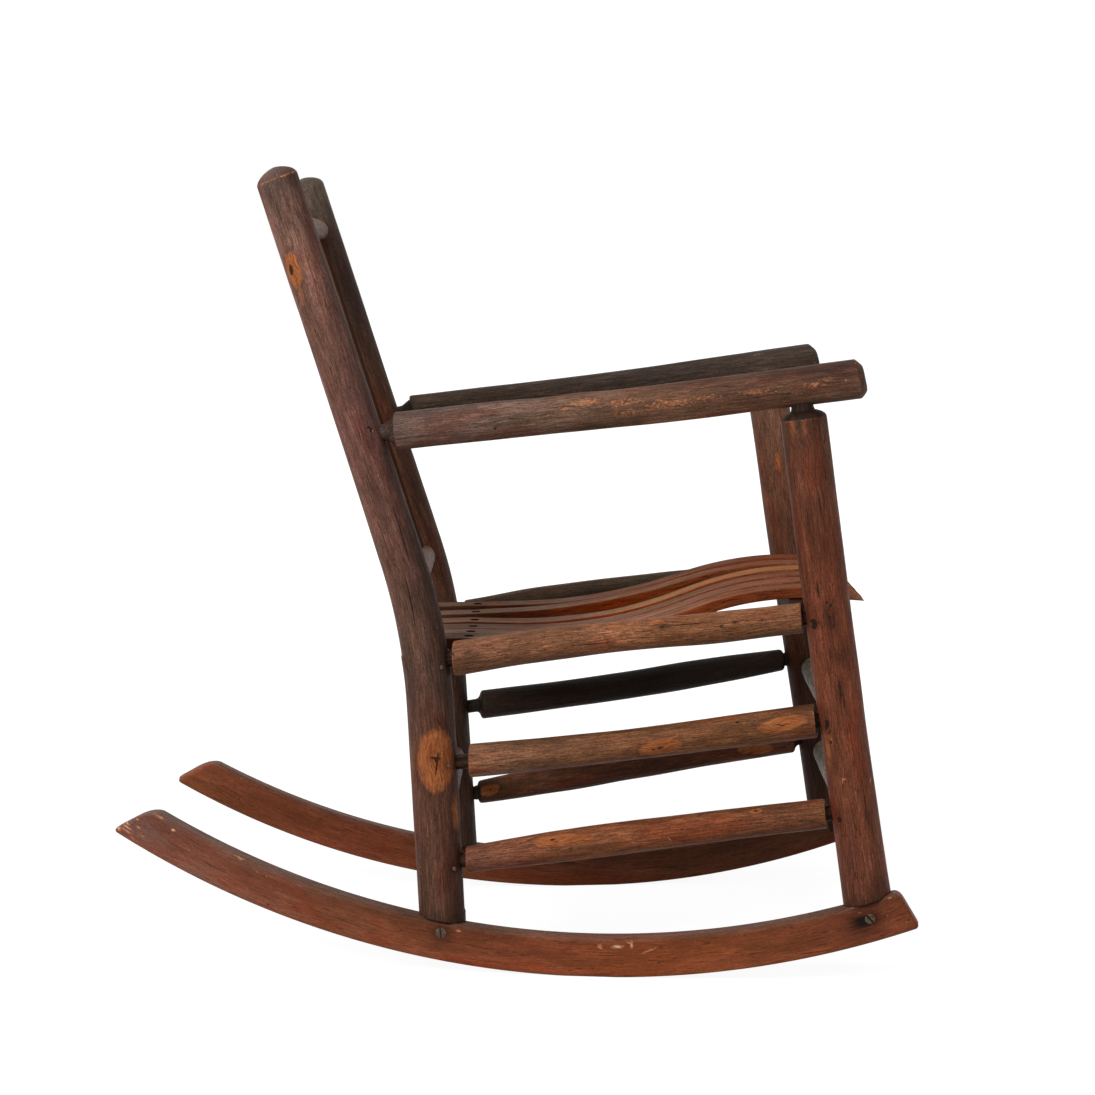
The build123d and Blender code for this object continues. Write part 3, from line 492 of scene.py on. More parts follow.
finish = {
    "pole_wood": stained_wood("peeled_hickory_stained_varnished", fibre=1.25, streak=4.2, contrast=1.05,
                              gloss=0.52, bump=0.7, shine=0.08),
    "runner_wood": stained_wood("sawn_hickory_board_stained", fibre=1.0, streak=5.0, contrast=0.52,
                                gloss=0.50, bump=0.25, shine=0.05),
    "slat_wood": stained_wood("steamed_slat_board_stained", fibre=1.9, streak=6.5, contrast=0.60,
                              gloss=0.55, bump=0.25, shine=0.0),
    "batten_wood": stained_wood("rough_batten_stained", fibre=1.4, streak=5.0, contrast=0.50,
                                gloss=0.65, bump=0.3),
    "screw_steel": dark_steel("slotted_screw_steel_darkened", "5E5046", "33271F", gloss=0.42),
    "nail_steel": dark_steel("wire_nail_steel_darkened", "6E5143", "46312A", gloss=0.55, metal=0.25),
}
sunk_steel = dark_steel("countersunk_screw_steel_blackened", "1E1612", "120C09", gloss=0.7, metal=0.0)
print("finishes:", ", ".join(finish))

# %% [markdown]
# ## The chair's lines
# All sizes are the maker's, in metres, the same as in the solid model. The rear posts are one
# stem each: a straight leg, a steamed bend and a raked back. The front posts lean back a little.
# The right side is -Y and the left side is +Y.

# %% Sizes
SIDES = {"right": -1, "left": 1}
# Half the distance between the posts' heart lines, at the rear and at the front.
REAR_HALF, FRONT_HALF = 0.210, 0.260
REAR_FOOT_X = {"right": -0.078, "left": -0.079}
LEG_LEAN = {"right": math.radians(2.9), "left": math.radians(3.5)}
BACK_LEAN = math.radians(17.9)
BEND_Z = {"right": 0.377, "left": 0.366}
BEND_R = 0.640
REAR_TOP_Z = {"right": 0.876, "left": 0.880}
FRONT_TOP_X = {"right": 0.3154, "left": 0.3135}
FRONT_TOP_Z = 0.6165
FRONT_LEAN = {"right": math.radians(8.0), "left": math.radians(8.85)}
RUNNER_R, RUNNER_DEPTH, RUNNER_THICK = 1.026, 0.0445, 0.028
# The runner's lowest place, the length of its worn flat, and how far outside the posts' plane it runs.
RUNNER_LOW_X, RUNNER_FLAT, RUNNER_OUT = 0.0885, 0.060, 0.007
INNER_R = RUNNER_R - RUNNER_DEPTH
RUNNER_CENTRE_Z = RUNNER_R - RUNNER_FLAT**2 / (8 * RUNNER_R)


def runner_top(x):
    """Height of the runner's hollow top edge, an arc about a centre high above the chair."""
    return RUNNER_CENTRE_Z - math.sqrt(INNER_R**2 - (x - RUNNER_LOW_X) ** 2)


def lean_vector(lean):
    """Unit vector up a post that leans back by this angle."""
    return np.array([-math.sin(lean), 0.0, math.cos(lean)])


def rear_points(side):
    """Foot, start of the bend, its centre, end of the bend and top of a rear post's heart line."""
    y = SIDES[side] * REAR_HALF
    foot_x = REAR_FOOT_X[side]
    foot = np.array([foot_x, y, runner_top(foot_x)])
    corner = foot + lean_vector(LEG_LEAN[side]) * (BEND_Z[side] - foot[2]) / math.cos(LEG_LEAN[side])
    reach = BEND_R * math.tan((BACK_LEAN - LEG_LEAN[side]) / 2)
    low = corner - lean_vector(LEG_LEAN[side]) * reach
    high = corner + lean_vector(BACK_LEAN) * reach
    centre = low - BEND_R * np.array([math.cos(LEG_LEAN[side]), 0, math.sin(LEG_LEAN[side])])
    top = high + lean_vector(BACK_LEAN) * (REAR_TOP_Z[side] - high[2]) / math.cos(BACK_LEAN)
    return foot, low, centre, high, top


def rear_heart(side):
    """Heart line of a rear post by the distance from its foot; lengths of it, its leg and its bend."""
    foot, low, centre, high, top = rear_points(side)
    leg = np.linalg.norm(low - foot)
    arc = BEND_R * (BACK_LEAN - LEG_LEAN[side])

    def heart(s):
        s = np.asarray(s)[..., None]
        straight = foot + lean_vector(LEG_LEAN[side]) * s
        angle = LEG_LEAN[side] + (s - leg) / BEND_R
        bent = centre + BEND_R * np.concatenate([np.cos(angle), 0 * angle, np.sin(angle)], axis=-1)
        raked = high + lean_vector(BACK_LEAN) * (s - leg - arc)
        return np.where(s < leg, straight, np.where(s < leg + arc, bent, raked))

    return heart, leg + arc + np.linalg.norm(top - high), leg, arc


def rear_axis(side, z):
    """Point on a rear post's heart line at a height, found on a fine list of its points."""
    heart, length, _, _ = rear_heart(side)
    points = heart(np.linspace(-0.05, length, 4000))
    return np.array([np.interp(z, points[:, 2], points[:, k]) for k in range(3)])


def front_axis(side, z):
    """Point on a front post's heart line at a height."""
    return np.array([FRONT_TOP_X[side] + math.tan(FRONT_LEAN[side]) * (FRONT_TOP_Z - z),
                     SIDES[side] * FRONT_HALF, z])


def front_foot(side):
    """Where a front post's heart line meets the runner's top, found by repeated substitution."""
    x = FRONT_TOP_X[side]
    for _ in range(20):
        x = front_axis(side, runner_top(x))[0]
    return front_axis(side, runner_top(x))


def straight(start, end, bow=lambda share: (0 * share, 0 * share)):
    """Heart line between two points, pushed sideways and up by bow(share) in metres."""
    run = end - start
    length = np.linalg.norm(run)
    unit = run / length

    def heart(s):
        s = np.asarray(s)[..., None]
        side_push, up_push = bow(np.clip(s / length, 0, 1))
        return start + unit * s + side_push * np.array([0, 1, 0]) + up_push * np.array([0, 0, 1])

    return heart


for side in SIDES:
    print(side, "rear top", rear_points(side)[4].round(3), "front foot", front_foot(side).round(3))

# %% [markdown]
# ## Rear posts
# The leg is thickest under the seat and the stem thins towards its top, which is rounded over
# with a rasp. The foot is scribed to the runner. The right post has an orange knot near the top,
# and a large one with a star crack by the upper stretcher. The right side faces the camera, so
# its stems have the finer grid.

# %% Rear posts
def foot_tilt(x, lean):
    """Slope of the runner's top against a post, as a tilt of the post's cut foot."""
    slope = (x - RUNNER_LOW_X) / math.sqrt(INNER_R**2 - (x - RUNNER_LOW_X) ** 2)
    return math.tan(lean - math.atan(slope))


def foot_profile(radius):
    """Profile in mm of a post's cut foot of this radius, and of its tenon into the runner."""
    return [(-0.4, radius), (-0.4, 20), (-0.4, 8.5), (6, 8), (29, 8), (29, 0)]


POST_DOME = [(-3.0, 22.7), (-2.2, 22.2), (-0.8, 21.5), (1.2, 20.0), (3.6, 17.2), (5.9, 13.2), (7.8, 8.4),
             (9.0, 4.0), (9.5, 0.0)]
REAR_RADII = (0.0256, 0.0257, 0.0243, 0.0229)
# How much longer than drawn each post was left, in metres.
REAR_EXTRA = {"right": 0.0013, "left": -0.0004}
REAR_MARKS = {
    "right": dict(
        around=132, step=1.25, worn_rims=(0.5, 0.72),
        knots=[(0.740, 146, 21, 11, 0.1, 0.9), (0.712, 146, 26, 6, 0.06, 0.27), (0.181, 190, 36, 23, 0.05),
               (0.118, 240, 30, 9, 0, 0.45)],
        spots=[(0.2814, 221, 3.4, 3.4, 0, 0.9), (0.1736, 221.5, 3.4, 3.4, 0, 0.7),
               (0.0581, 221, 3.4, 3.4, 0, 0.9), (0.7413, 142, 6.5, 3.0, 0.2), (0.178, 191, 16, 1.3, 0.16),
               (0.1835, 189, 1.5, 7.0, 0.15), (0.1815, 190, 4.0, 2.6, 0, 0.9), (0.5502, 214.5, 3.4, 1.5, 0.7),
               (0.5535, 210, 1.4, 2.8, 0.2), (0.0575, 128, 3.2, 1.1, 0), (0.03, 128, 26, 1.1, 0),
               (0.43, 204, 40, 1.0, 0.02, 0.8), (0.36, 176, 34, 1.0, 0.02, 0.8)],
        worn=[(0.057, 127, 6, 2.0, 1.15), (0.5496, 217, 1.4, 1.0, 1.2), (0.60, 162, 40, 4, 0.30),
              (0.43, 150, 34, 4, 0.30), (0.31, 214, 18, 0.9, 0.65), (0.33, 230, 26, 0.9, 0.6),
              (0.81, 230, 22, 2, 0.45), (0.648, 224, 14, 2, 0.4)],
        # The long grime_and_shade patches at 240 to 250 degrees paint shade on the side that turns to the
        # front.
        grime_and_shade=[(0.2814, 221, 8, 7, 0.55), (0.1736, 221, 8, 7, 0.45), (0.0581, 221, 9, 7, 0.55),
               (0.30, 196, 40, 6, 0.3), (0.47, 178, 60, 6, 0.3), (0.0, 180, 16, 90, 0.45),
               (0.26, 130, 46, 10, 0.55), (0.06, 138, 60, 9, 0.5), (0.36, 240, 150, 17, 0.5),
               (0.62, 246, 170, 15, 0.42), (0.08, 250, 60, 9, 0.35), (0.54, 196, 26, 9, 0.35),
               (0.39, 218, 50, 7, 0.35)],
        lumps=[(0.2974, 110, -0.05, 26, 1.3), (0.009, 275, -0.03, 24, 1.0), (0.741, 138, 0.02, 22, 0.9),
               (0.181, 200, 0.04, 60, 0.5)],
        # shade darkens the side that turns to the front too: painted shade.
        shade=(0.42, 115),
    ),
    "left": dict(
        around=88, step=2.4, worn_rims=(0.5, 0.3),
        worn=[(0.34, 165, 4, 3, 0.8), (0.36, 172, 3, 1.2, 1.1), (0.80, 200, 8, 2, 0.5)],
        # These broad patches paint shade over the far post.
        grime_and_shade=[(0.70, 190, 90, 60, 0.5), (0.5, 180, 150, 60, 0.4), (0.2, 180, 160, 90, 0.5)],
        shade=(0.1, 140),
    ),
}
REAR_TINTS = {
    "right": [(0, "483024"), (0.08, "54362A"), (0.17, "543529"), (0.28, "523A30"), (0.42, "583B31"),
              (0.55, "62413A"), (0.66, "68473C"), (0.75, "6C4B40"), (0.8, "664A40"), (0.83, "544038")],
    # The far post's darker tints are painted shade as well.
    "left": [(0, "452E24"), (0.3, "573729"), (0.55, "583727"), (0.72, "3E2C24"), (0.8, "483830"),
             (0.83, "54463C")],
}
for number, side in enumerate(SIDES):
    heart, length, leg, arc = rear_heart(side)
    tilt = foot_tilt(REAR_FOOT_X[side], LEG_LEAN[side])
    keys = (0, leg, leg + arc, length)

    def rear_thickness(s, keys=keys):
        """Radius between its values at the foot, at both ends of the bend and at the top."""
        return np.interp(s, keys, REAR_RADII)

    stem(f"rear_post_{side}_stem", f"rear_post_{side}", "pole_wood", heart, rear_thickness,
         length + REAR_EXTRA[side], foot_profile(25.3), POST_DOME, REAR_TINTS[side], seed=11 + number,
         cut_start=(0, tilt), cut_end=(0.05, -0.06), past=(0.6, 0.25), **REAR_MARKS[side])

# %% [markdown]
# ## Front posts
# A nearly straight stem with a hollow shoulder turned under the arm, and a pin that goes up into
# the arm. It widens a little at the foot, and its face is a deep red brown.

# %% Front posts
FRONT_MARKS = {
    "right": dict(
        around=132, step=1.25,
        knots=[(0.170, 124, 42, 9, 0, 0.28), (0.186, 138, 15, 8, 0, 0.3), (0.527, 144, 34, 6, 0, 0.26),
               (0.522, 176, 30, 6, 0, 0.22)],
        spots=[(0.3098, 132.3, 6.5, 6.5, 0), (0.0945, 131.9, 3.6, 3.6, 0), (0.2021, 134, 3.2, 3.2, 0, 0.8),
               (0.199, 134, 6.5, 3.0, 0.5, 0.9), (0.191, 137, 6, 0.8, 0.9), (0.180, 139, 2.0, 1.8, 0),
               (0.36, 130, 18, 0.7, 0), (0.345, 133, 9, 0.6, 0.2), (0.470, 214, 12, 0.8, 0, 0.8),
               (0.44, 190, 20, 0.8, 0, 0.7), (0.328, 184, 3.2, 1.2, 0.6), (0.316, 178, 1.0, 3.2, 0.3),
               (0.306, 185, 3.6, 0.9, 0.2), (0.332, 176, 1.2, 2.0, 0), (0.347, 158, 12, 1.1, 0),
               (0.235, 181, 16, 0.8, 0, 0.8), (0.222, 186, 10, 0.7, 0, 0.8), (0.47, 130, 26, 0.8, 0, 0.8),
               (0.25, 160, 30, 0.7, 0, 0.7), (0.11, 205, 30, 0.8, 0, 0.7)],
        worn=[(0.1393, 160, 1.1, 3.6, 1.3, 0.4), (0.137, 157, 3.0, 1.0, 1.2),
              (0.1334, 236, 4.0, 1.2, 1.3, 0.5), (0.131, 232, 1.2, 2.8, 1.2), (0.122, 184, 12, 0.9, 0.75),
              (0.105, 188, 9, 0.8, 0.7), (0.052, 205, 1.5, 1.0, 1.0), (0.29, 242, 12, 1.0, 0.8),
              (0.09, 236, 14, 0.7, 0.75), (0.255, 108, 26, 0.9, 0.5), (0.47, 112, 30, 1.2, 0.4)],
        grime_and_shade=[(0.545, 205, 28, 14, 0.58), (0.54, 158, 20, 3, 0.55), (0.425, 168, 30, 12, 0.46),
               (0.0, 180, 12, 60, 0.6), (0.316, 181, 17, 9, 0.66), (0.2715, 190, 10, 15, 0.52),
               (0.235, 182, 22, 5, 0.56), (0.0, 180, 30, 60, 0.45), (0.50, 112, 50, 6, 0.5),
               (0.36, 118, 70, 6, 0.45), (0.05, 150, 40, 10, 0.35), (0.2, 132, 16, 6, 0.4),
               (0.0945, 132, 12, 8, 0.5), (0.3098, 132, 8, 8, 0.4)],
    ),
    "left": dict(
        around=84, step=2.4,
        worn=[(0.45, 178, 22, 4, 0.55), (0.47, 215, 8, 2, 0.6), (0.43, 150, 30, 3, 0.4)],
        knots=[(0.449, 178, 16, 5, 0, 0.5)],
        # These broad patches paint shade on the far post's face.
        grime_and_shade=[(0.1, 180, 120, 70, 0.35), (0.30, 200, 90, 20, 0.35)],
    ),
}
FRONT_TINTS = {
    "right": [(0, "683B2B"), (0.15, "6C3C29"), (0.27, "703C29"), (0.4, "6B3926"), (0.47, "623A29"),
              (0.55, "583A2B")],
    # The far post's dark tints, darkest at the foot, are painted shade.
    "left": [(0, "3E271D"), (0.2, "4E2F21"), (0.4, "66402E"), (0.55, "684A3A")],
}
HOLLOW = [(-0.4, 24.8), (1.2, 24.4), (2.8, 23.5), (4.2, 22.1), (5.4, 20.4), (6.6, 18.3), (7.6, 15.8),
          (8.4, 13.4), (9.6, 12.7), (11.5, 12.2), (20, 11.6), (36, 11.4), (36, 0)]
# How far the middle of a front post is pushed along X.
FRONT_BOW = -0.0018


def front_thickness(s):
    """Radius of a front post at a distance from its foot."""
    return np.interp(s, (0, 0.09, 0.3, 0.53), (0.0264, 0.0254, 0.0252, 0.0249))


for number, side in enumerate(SIDES):
    foot = front_foot(side)
    top = front_axis(side, FRONT_TOP_Z)
    length = np.linalg.norm(top - foot)
    heart = straight(foot, top)
    tilt = foot_tilt(foot[0], FRONT_LEAN[side])

    def bowed(s, heart=heart, length=length):
        """The straight heart line, pushed back in the middle: the bow times sin(pi s/length)."""
        push = FRONT_BOW * np.sin(np.pi * np.clip(np.asarray(s) / length, 0, 1))
        return heart(s) + push[..., None] * np.array([1, 0, 0])

    stem(f"front_post_{side}_stem", f"front_post_{side}", "pole_wood", bowed, front_thickness, length,
         foot_profile(26.0), HOLLOW, FRONT_TINTS[side], seed=21 + number, cut_start=(0, tilt),
         past=(0.8, 1.0), worn_rims=(0.5, 0.56), wobble=0.3, **FRONT_MARKS[side])

# %% [markdown]
# ## Arms
# Each arm is a stem with a cone whittled at the back, which enters the rear post, and a chamfered
# front end where the hand rests. Hands have rubbed the stain off its front half.

# %% Arms
ARM_REAR_Z = 0.5955
ARM_FRONT_Z = {"right": 0.652, "left": 0.6555}
ARM_PAST = {"right": 0.0687, "left": 0.0667}
ARM_GAP = 0.0145
# Radius of the rear post where the arm enters it.
ARM_POST_R = 0.0247
ARM_SHARES, ARM_RADII = (0, 0.3, 0.6, 0.85, 1), (20.8, 20.3, 20.5, 21.1, 21.1)
SAG_SHARES = (0, 0.2, 0.4, 0.6, 0.8, 1)
ARM_SAG = {"right": (0, -0.6, -2.4, -2.6, -1.6, 0), "left": (0, -1.2, -2.6, -2.2, -0.8, 0)}
ARM_CONE = [(0.0, 20.0), (0.4, 18.6), (0.6, 15.8), (3, 14.6), (8, 11.2), (11.5, 9.3), (16, 9), (30, 9),
            (30, 0)]
ARM_CHAMFER = [(-5.2, 20.7), (-3.6, 19.4), (-1.6, 17.5), (0.3, 15.4), (1.6, 13.2), (2.1, 9), (2.2, 0)]
ARM_MARKS = {
    "right": dict(
        around=120, step=1.3, worn_rims=(0.5, 0.70),
        spots=[(0.1116, 202, 1.5, 1.5, 0), (0.1135, 196, 3.0, 2.0, 0, 0.4), (0.43, 196, 9, 4, 0, 0.3)],
        worn=[(0.212, 146, 24, 6, 0.76), (0.19, 160, 14, 4, 0.66), (0.25, 162, 36, 6, 0.68),
              (0.26, 196, 40, 7, 0.62), (0.302, 180, 40, 9, 0.68), (0.34, 176, 40, 6, 0.6),
              (0.395, 178, 26, 5, 0.70), (0.418, 184, 16, 4, 0.5), (0.459, 178, 20, 5, 0.66),
              (0.44, 196, 16, 3, 0.55), (0.473, 167, 16, 5, 0.62), (0.47, 222, 24, 5, 0.45),
              (0.36, 205, 60, 5, 0.42), (0.02, 170, 26, 8, 0.34), (-0.012, 190, 3, 8, 0.6),
              (0.07, 120, 60, 4, 0.42), (0.10, 150, 60, 4, 0.30), (0.492, 177, 1.6, 2.0, 1.25)],
        knots=[(0.447, 176, 34, 9, 0, 0.18), (0.40, 184, 30, 8, 0, 0.14), (0.345, 186, 36, 8, 0, 0.14),
               (0.25, 176, 50, 9, 0, 0.12)],
        lumps=[(0.205, 100, 0.022, 45, 1.5), (0.30, 270, 0.05, 50, 0.8)],
        # shade darkens the top, which has aged, and lightens the underside, a painted light.
        shade=(-0.2, 110),
        grime_and_shade=[(0.43, 116, 90, 17, 0.80), (0.487, 130, 34, 17, 0.78), (0.33, 108, 70, 12, 0.72),
               (0.14, 100, 90, 5, 0.4), (0.46, 235, 40, 8, 0.4), (0.49, 200, 24, 14, 0.3),
               (0.25, 100, 90, 5, 0.45), (0.435, 148, 12, 6, 0.4), (0.36, 140, 16, 5, 0.35),
               (0.42, 208, 60, 9, 0.3), (0.17, 230, 90, 10, 0.42), (0.02, 120, 40, 6, 0.30),
               (0.27, 205, 50, 8, 0.25)],
    ),
    "left": dict(
        around=84, step=2.4, worn_rims=(0.3, 0.56),
        worn=[(0.15, 112, 40, 3, 0.50), (0.44, 122, 12, 4, 0.6), (0.22, 120, 3, 2, 0.7),
              (0.33, 128, 60, 2, 0.42), (0.02, 112, 10, 2, 0.6)],
        # These two patches run the whole far arm and paint shade on its top and upper face.
        grime_and_shade=[(0.3, 98, 260, 14, 0.6), (0.3, 150, 260, 20, 0.35)],
    ),
}
ARM_TINTS = {
    "right": [(0, "665047"), (0.1, "6C5449"), (0.25, "795743"), (0.4, "734E3C"), (0.5, "684B3C")],
    # The far arm's dark tints are painted shade as well.
    "left": [(0, "443629"), (0.3, "40322A"), (0.5, "46382F")],
}
for number, side in enumerate(SIDES):
    rear = rear_axis(side, ARM_REAR_Z)
    front = front_axis(side, ARM_FRONT_Z[side])
    unit = (front - rear) / np.linalg.norm(front - rear)
    start = rear + unit * (ARM_POST_R + ARM_GAP)
    end = front + unit * ARM_PAST[side]
    length = np.linalg.norm(end - start)

    def arm_bow(share, sag=ARM_SAG[side]):
        """The arm sags a little between its ends."""
        return 0 * share, eased(share, SAG_SHARES, sag) * MM

    def arm_radius(s, length=length):
        """Radius of an arm, a little thicker towards its front end."""
        return eased(s / length, ARM_SHARES, ARM_RADII) * MM

    stem(f"arm_{side}_stem", f"arm_{side}", "pole_wood", straight(start, end, arm_bow), arm_radius, length,
         ARM_CONE, ARM_CHAMFER, ARM_TINTS[side], seed=31 + number, cut_end=(0, -0.1), past=(0.7, 0.4),
         dash=0.7, wobble=0.35, **ARM_MARKS[side])

# %% [markdown]
# ## Rails and stretchers of the sides
# Each side has a seat rail and two stretchers. Their ends are shaved to tenons, so the thick part
# stops short of the post and shows a worn rim. Their radii and bends follow real stems: one
# swells where a branch grew, the next sags.

# %% Side rungs
# Heights of both ends, gaps between thick part and post, radii and bow at the quarters, in mm.
SIDE_RUNGS = {
    "seat_side_rail": dict(
        z=(0.345, 0.404), gaps=(6.5, 5.0),
        radii=(18.7, 18.2, 17.0, 16.6, 16.6), bow=(0, 3.4, 3.2, 0.4, 0),
    ),
    "upper_side_stretcher": dict(
        z=(0.230, 0.2915), gaps=(15.7, 5.0),
        radii=(18.6, 17.4, 17.2, 18.0, 18.3), bow=(0, -2.2, -3.0, -1.6, 0),
    ),
    "lower_side_stretcher": dict(
        z=(0.1195, 0.190), gaps=(6.0, 7.0),
        radii=(14.4, 17.6, 17.6, 16.9, 16.4), bow=(0, 1.2, 1.8, 1.2, 0),
    ),
}
# The left upper stretcher has radii of its own, because it thins towards the front.
FAR_RADII = {"upper_side_stretcher": (18.0, 17.4, 17.2, 17.0, 13.6)}
QUARTERS = (0, 0.25, 0.5, 0.75, 1)
# The grid of each side's rungs, and the wear on their rims.
RUNG_GRID = {"right": dict(around=112, step=1.25), "left": dict(around=80, step=2.4, worn_rims=(0, 0))}
# How far a side rung's tenon goes into its post, and its radius, in mm.
TENON_IN, TENON_R = 15, 8
RUNG_DROP = {"right": 0.0, "left": 0.003}
RUNG_MARKS = {
    "seat_side_rail_right": dict(
        knots=[(0.228, 128, 16, 6, 0, 0.35)],
        spots=[(0.0025, 157, 1.6, 1.6, 0), (0.15, 190, 30, 0.8, 0, 0.7), (0.26, 150, 34, 0.8, 0, 0.7),
               (0.2346, 149, 14, 7.5, 0, 0.36), (0.2983, 170, 5, 4, 0, 0.36), (0.313, 161, 8, 5.2, 0, 0.38),
               (0.3429, 163, 5, 4.2, 0, 0.36)],
        worn=[(0.06, 120, 50, 5, 0.36), (0.17, 118, 60, 4, 0.40), (0.225, 112, 12, 3, 0.62),
              (0.35, 130, 30, 4, 0.35)],
        # The long patch at 225 degrees paints shade along the underside.
        grime_and_shade=[(0.02, 175, 14, 10, 0.35), (0.37, 110, 10, 8, 0.25), (0.2, 225, 200, 7, 0.25)],
        dash=1.0,
    ),
    "upper_side_stretcher_right": dict(
        knots=[(0.213, 196, 24, 10, -0.06), (0.348, 168, 27, 8.5, -0.08, 1.15)],
        spots=[(0.213, 196, 4.2, 1.4, -0.1), (0.205, 200, 2.2, 1.0, 0.3), (0.346, 170, 7, 0.7, 0.3),
               (0.30, 140, 2.5, 1.5, 0)],
        worn=[(0.30, 120, 60, 4, 0.34), (0.1, 150, 40, 4, 0.25), (0.343, 166, 18, 6, 0.55),
              (0.206, 192, 16, 6, 0.3)],
        # The long patch at 225 degrees paints shade along the underside.
        grime_and_shade=[(0.37, 105, 30, 7, 0.45), (0.14, 108, 90, 5, 0.25), (0.15, 225, 130, 8, 0.35)],
        dash=0.9,
    ),
    "lower_side_stretcher_right": dict(
        knots=[(0.104, 141, 27, 8.5, 0.1, 0.9), (0.135, 150, 18, 7, 0, 0.5), (0.3257, 126, 8, 4, 0)],
        spots=[(0.100, 140, 4, 1.6, 0, 0.8), (0.3257, 126, 3, 1.6, 0)],
        worn=[(0.2284, 196, 5.5, 0.7, 1.2, 1.0), (0.02, 120, 14, 6, 0.3), (0.3, 140, 90, 4, 0.3)],
        # The long patches at 215 and 225 degrees paint shade along the underside.
        grime_and_shade=[(0.2, 105, 60, 4, 0.3), (0.36, 150, 20, 8, 0.2), (0.1, 215, 90, 9, 0.35),
               (0.3, 225, 90, 8, 0.3)],
        dash=0.8,
    ),
    "seat_side_rail_left": dict(
        worn=[(0.06, 115, 10, 3, 0.6)],
        # These patches run the whole far rail and paint its shade, deepest on the underside.
        grime_and_shade=[(0.2, 190, 300, 22, 0.45), (0.2, 225, 300, 9, 0.4)],
        # shade lights the top and darkens the underside: painted light and shade.
        shade=(0.6, 90),
    ),
    "upper_side_stretcher_left": dict(
        worn=[(0.3, 112, 90, 2, 0.4)],
        # The patch at 110 degrees paints the shade that the seat casts on this stretcher's top, and the one
        # at 190 degrees darkens its face.
        grime_and_shade=[(0.2, 110, 300, 26, 0.62), (0.2, 190, 300, 20, 0.35)],
    ),
    "lower_side_stretcher_left": dict(
        knots=[(0.0144, 169, 13, 8, 0), (0.3624, 190, 16, 9, 0, 0.8), (0.34, 180, 12, 8, 0, 0.6)],
        spots=[(0.0144, 169, 2, 1.2, 0)],
        grime_and_shade=[(0.15, 110, 120, 20, 0.5), (0.33, 120, 60, 14, 0.4), (0.18, 200, 90, 12, 0.5)],
    ),
}
RUNG_TINTS = {
    "seat_side_rail_right": [(0, "7A503A"), (0.12, "80543A"), (0.25, "875538"), (0.38, "7A5036")],
    "upper_side_stretcher_right": [(0, "7A543E"), (0.15, "764D33"), (0.28, "7A4D30"), (0.4, "68432C")],
    "lower_side_stretcher_right": [(0, "784A3B"), (0.1, "844F34"), (0.2, "7D4A2E"), (0.4, "70442D")],
    # The far rungs' dark tints are painted shade, darkest on the upper stretcher under the seat.
    "seat_side_rail_left": [(0, "433424"), (0.4, "35281A")],
    "upper_side_stretcher_left": [(0, "38281F"), (0.2, "1E140E"), (0.4, "2A1C14")],
    "lower_side_stretcher_left": [(0, "5E3A26"), (0.15, "58321F"), (0.4, "643824")],
}


def front_radius(z):
    """Radius of a front post at a height."""
    return float(np.interp(z, (0.093, 0.190, FRONT_TOP_Z), (0.0264, 0.0253, 0.0249)))


def rear_radius(z):
    """Radius of a rear post at a height."""
    return float(np.interp(z, (0.295, 0.458, 0.876), (0.0256, 0.0243, 0.0229)))


def quarter_curve(values_mm, length):
    """Smooth curve along a stem of this length, given in mm at its ends and quarter points."""
    return lambda s: eased(s / length, QUARTERS, values_mm) * MM


def sharp_shoulder(r):
    """Profile of a sawn shoulder whose rim stays sharp, down to the tenon."""
    return [(-0.6, r - 0.3), (-0.1, r - 1.0), (0.3, r - 2.2), (0.5, 12.4), (0.9, 9.6), (2.4, 8.4)]


def soft_shoulder(r):
    """Profile of a shoulder rounded over with a knife, down to the tenon."""
    return [(-3.4, r - 0.1), (-1.8, r - 0.9), (-0.6, r - 2.6), (0.2, r - 5.0), (1.0, min(11, r - 5.5)),
            (2.8, 8.9), (5, 8.2)]


for number, (kind, data) in enumerate(SIDE_RUNGS.items()):
    gaps = data["gaps"]
    for side in SIDES:
        name = f"{kind}_{side}"
        near = side == "right"
        rear = rear_axis(side, data["z"][0] - RUNG_DROP[side])
        front = front_axis(side, data["z"][1] - RUNG_DROP[side])
        unit = (front - rear) / np.linalg.norm(front - rear)
        start = rear + unit * (rear_radius(data["z"][0]) + gaps[0] * MM)
        end = front - unit * (front_radius(data["z"][1]) + gaps[1] * MM)
        length = np.linalg.norm(end - start)
        radii = data["radii"] if near else FAR_RADII.get(kind, data["radii"])

        def rung_bow(share, bow=data["bow"]):
            """The rung rises or sags a little between its ends."""
            return 0 * share, eased(share, QUARTERS, bow) * MM

        shoulder = sharp_shoulder if near else soft_shoulder
        ends = [shoulder(r) + [(gap + TENON_IN, TENON_R), (gap + TENON_IN, 0)]
                for r, gap in ((radii[0], gaps[0]), (radii[-1], gaps[1]))]
        stem(f"{name}_stem", name, "pole_wood", straight(start, end, rung_bow), quarter_curve(radii, length),
             length, *ends, RUNG_TINTS[name], seed=41 + 2 * number + (not near), cut_start=(0, 0.1),
             cut_end=(0, 0.04), past=(1.0, 1.0), **RUNG_GRID[side], **RUNG_MARKS[name])

# %% [markdown]
# ## Rails and stretchers across
# These run from side to side and are seen nearly end on. The two seat rails are the thickest,
# because they carry the sitter, and the two back rails carry the back slats.

# %% Cross rungs
FRONT_RAIL_Z, REAR_RAIL_Z = 0.3967, 0.3392
BACK_TOP_Z, BACK_LOW_Z = 0.824, 0.424
# How far a rail's thick part stops short of the posts.
CROSS_GAP = 0.006
# The two front stretchers are grey all along, and the rear stretcher and the back's top rail are grey at
# their ends. That grey is a painted sheen: the white surroundings mirrored at a grazing angle.
GREY_SHEEN = ("front_upper_stretcher", "front_lower_stretcher")
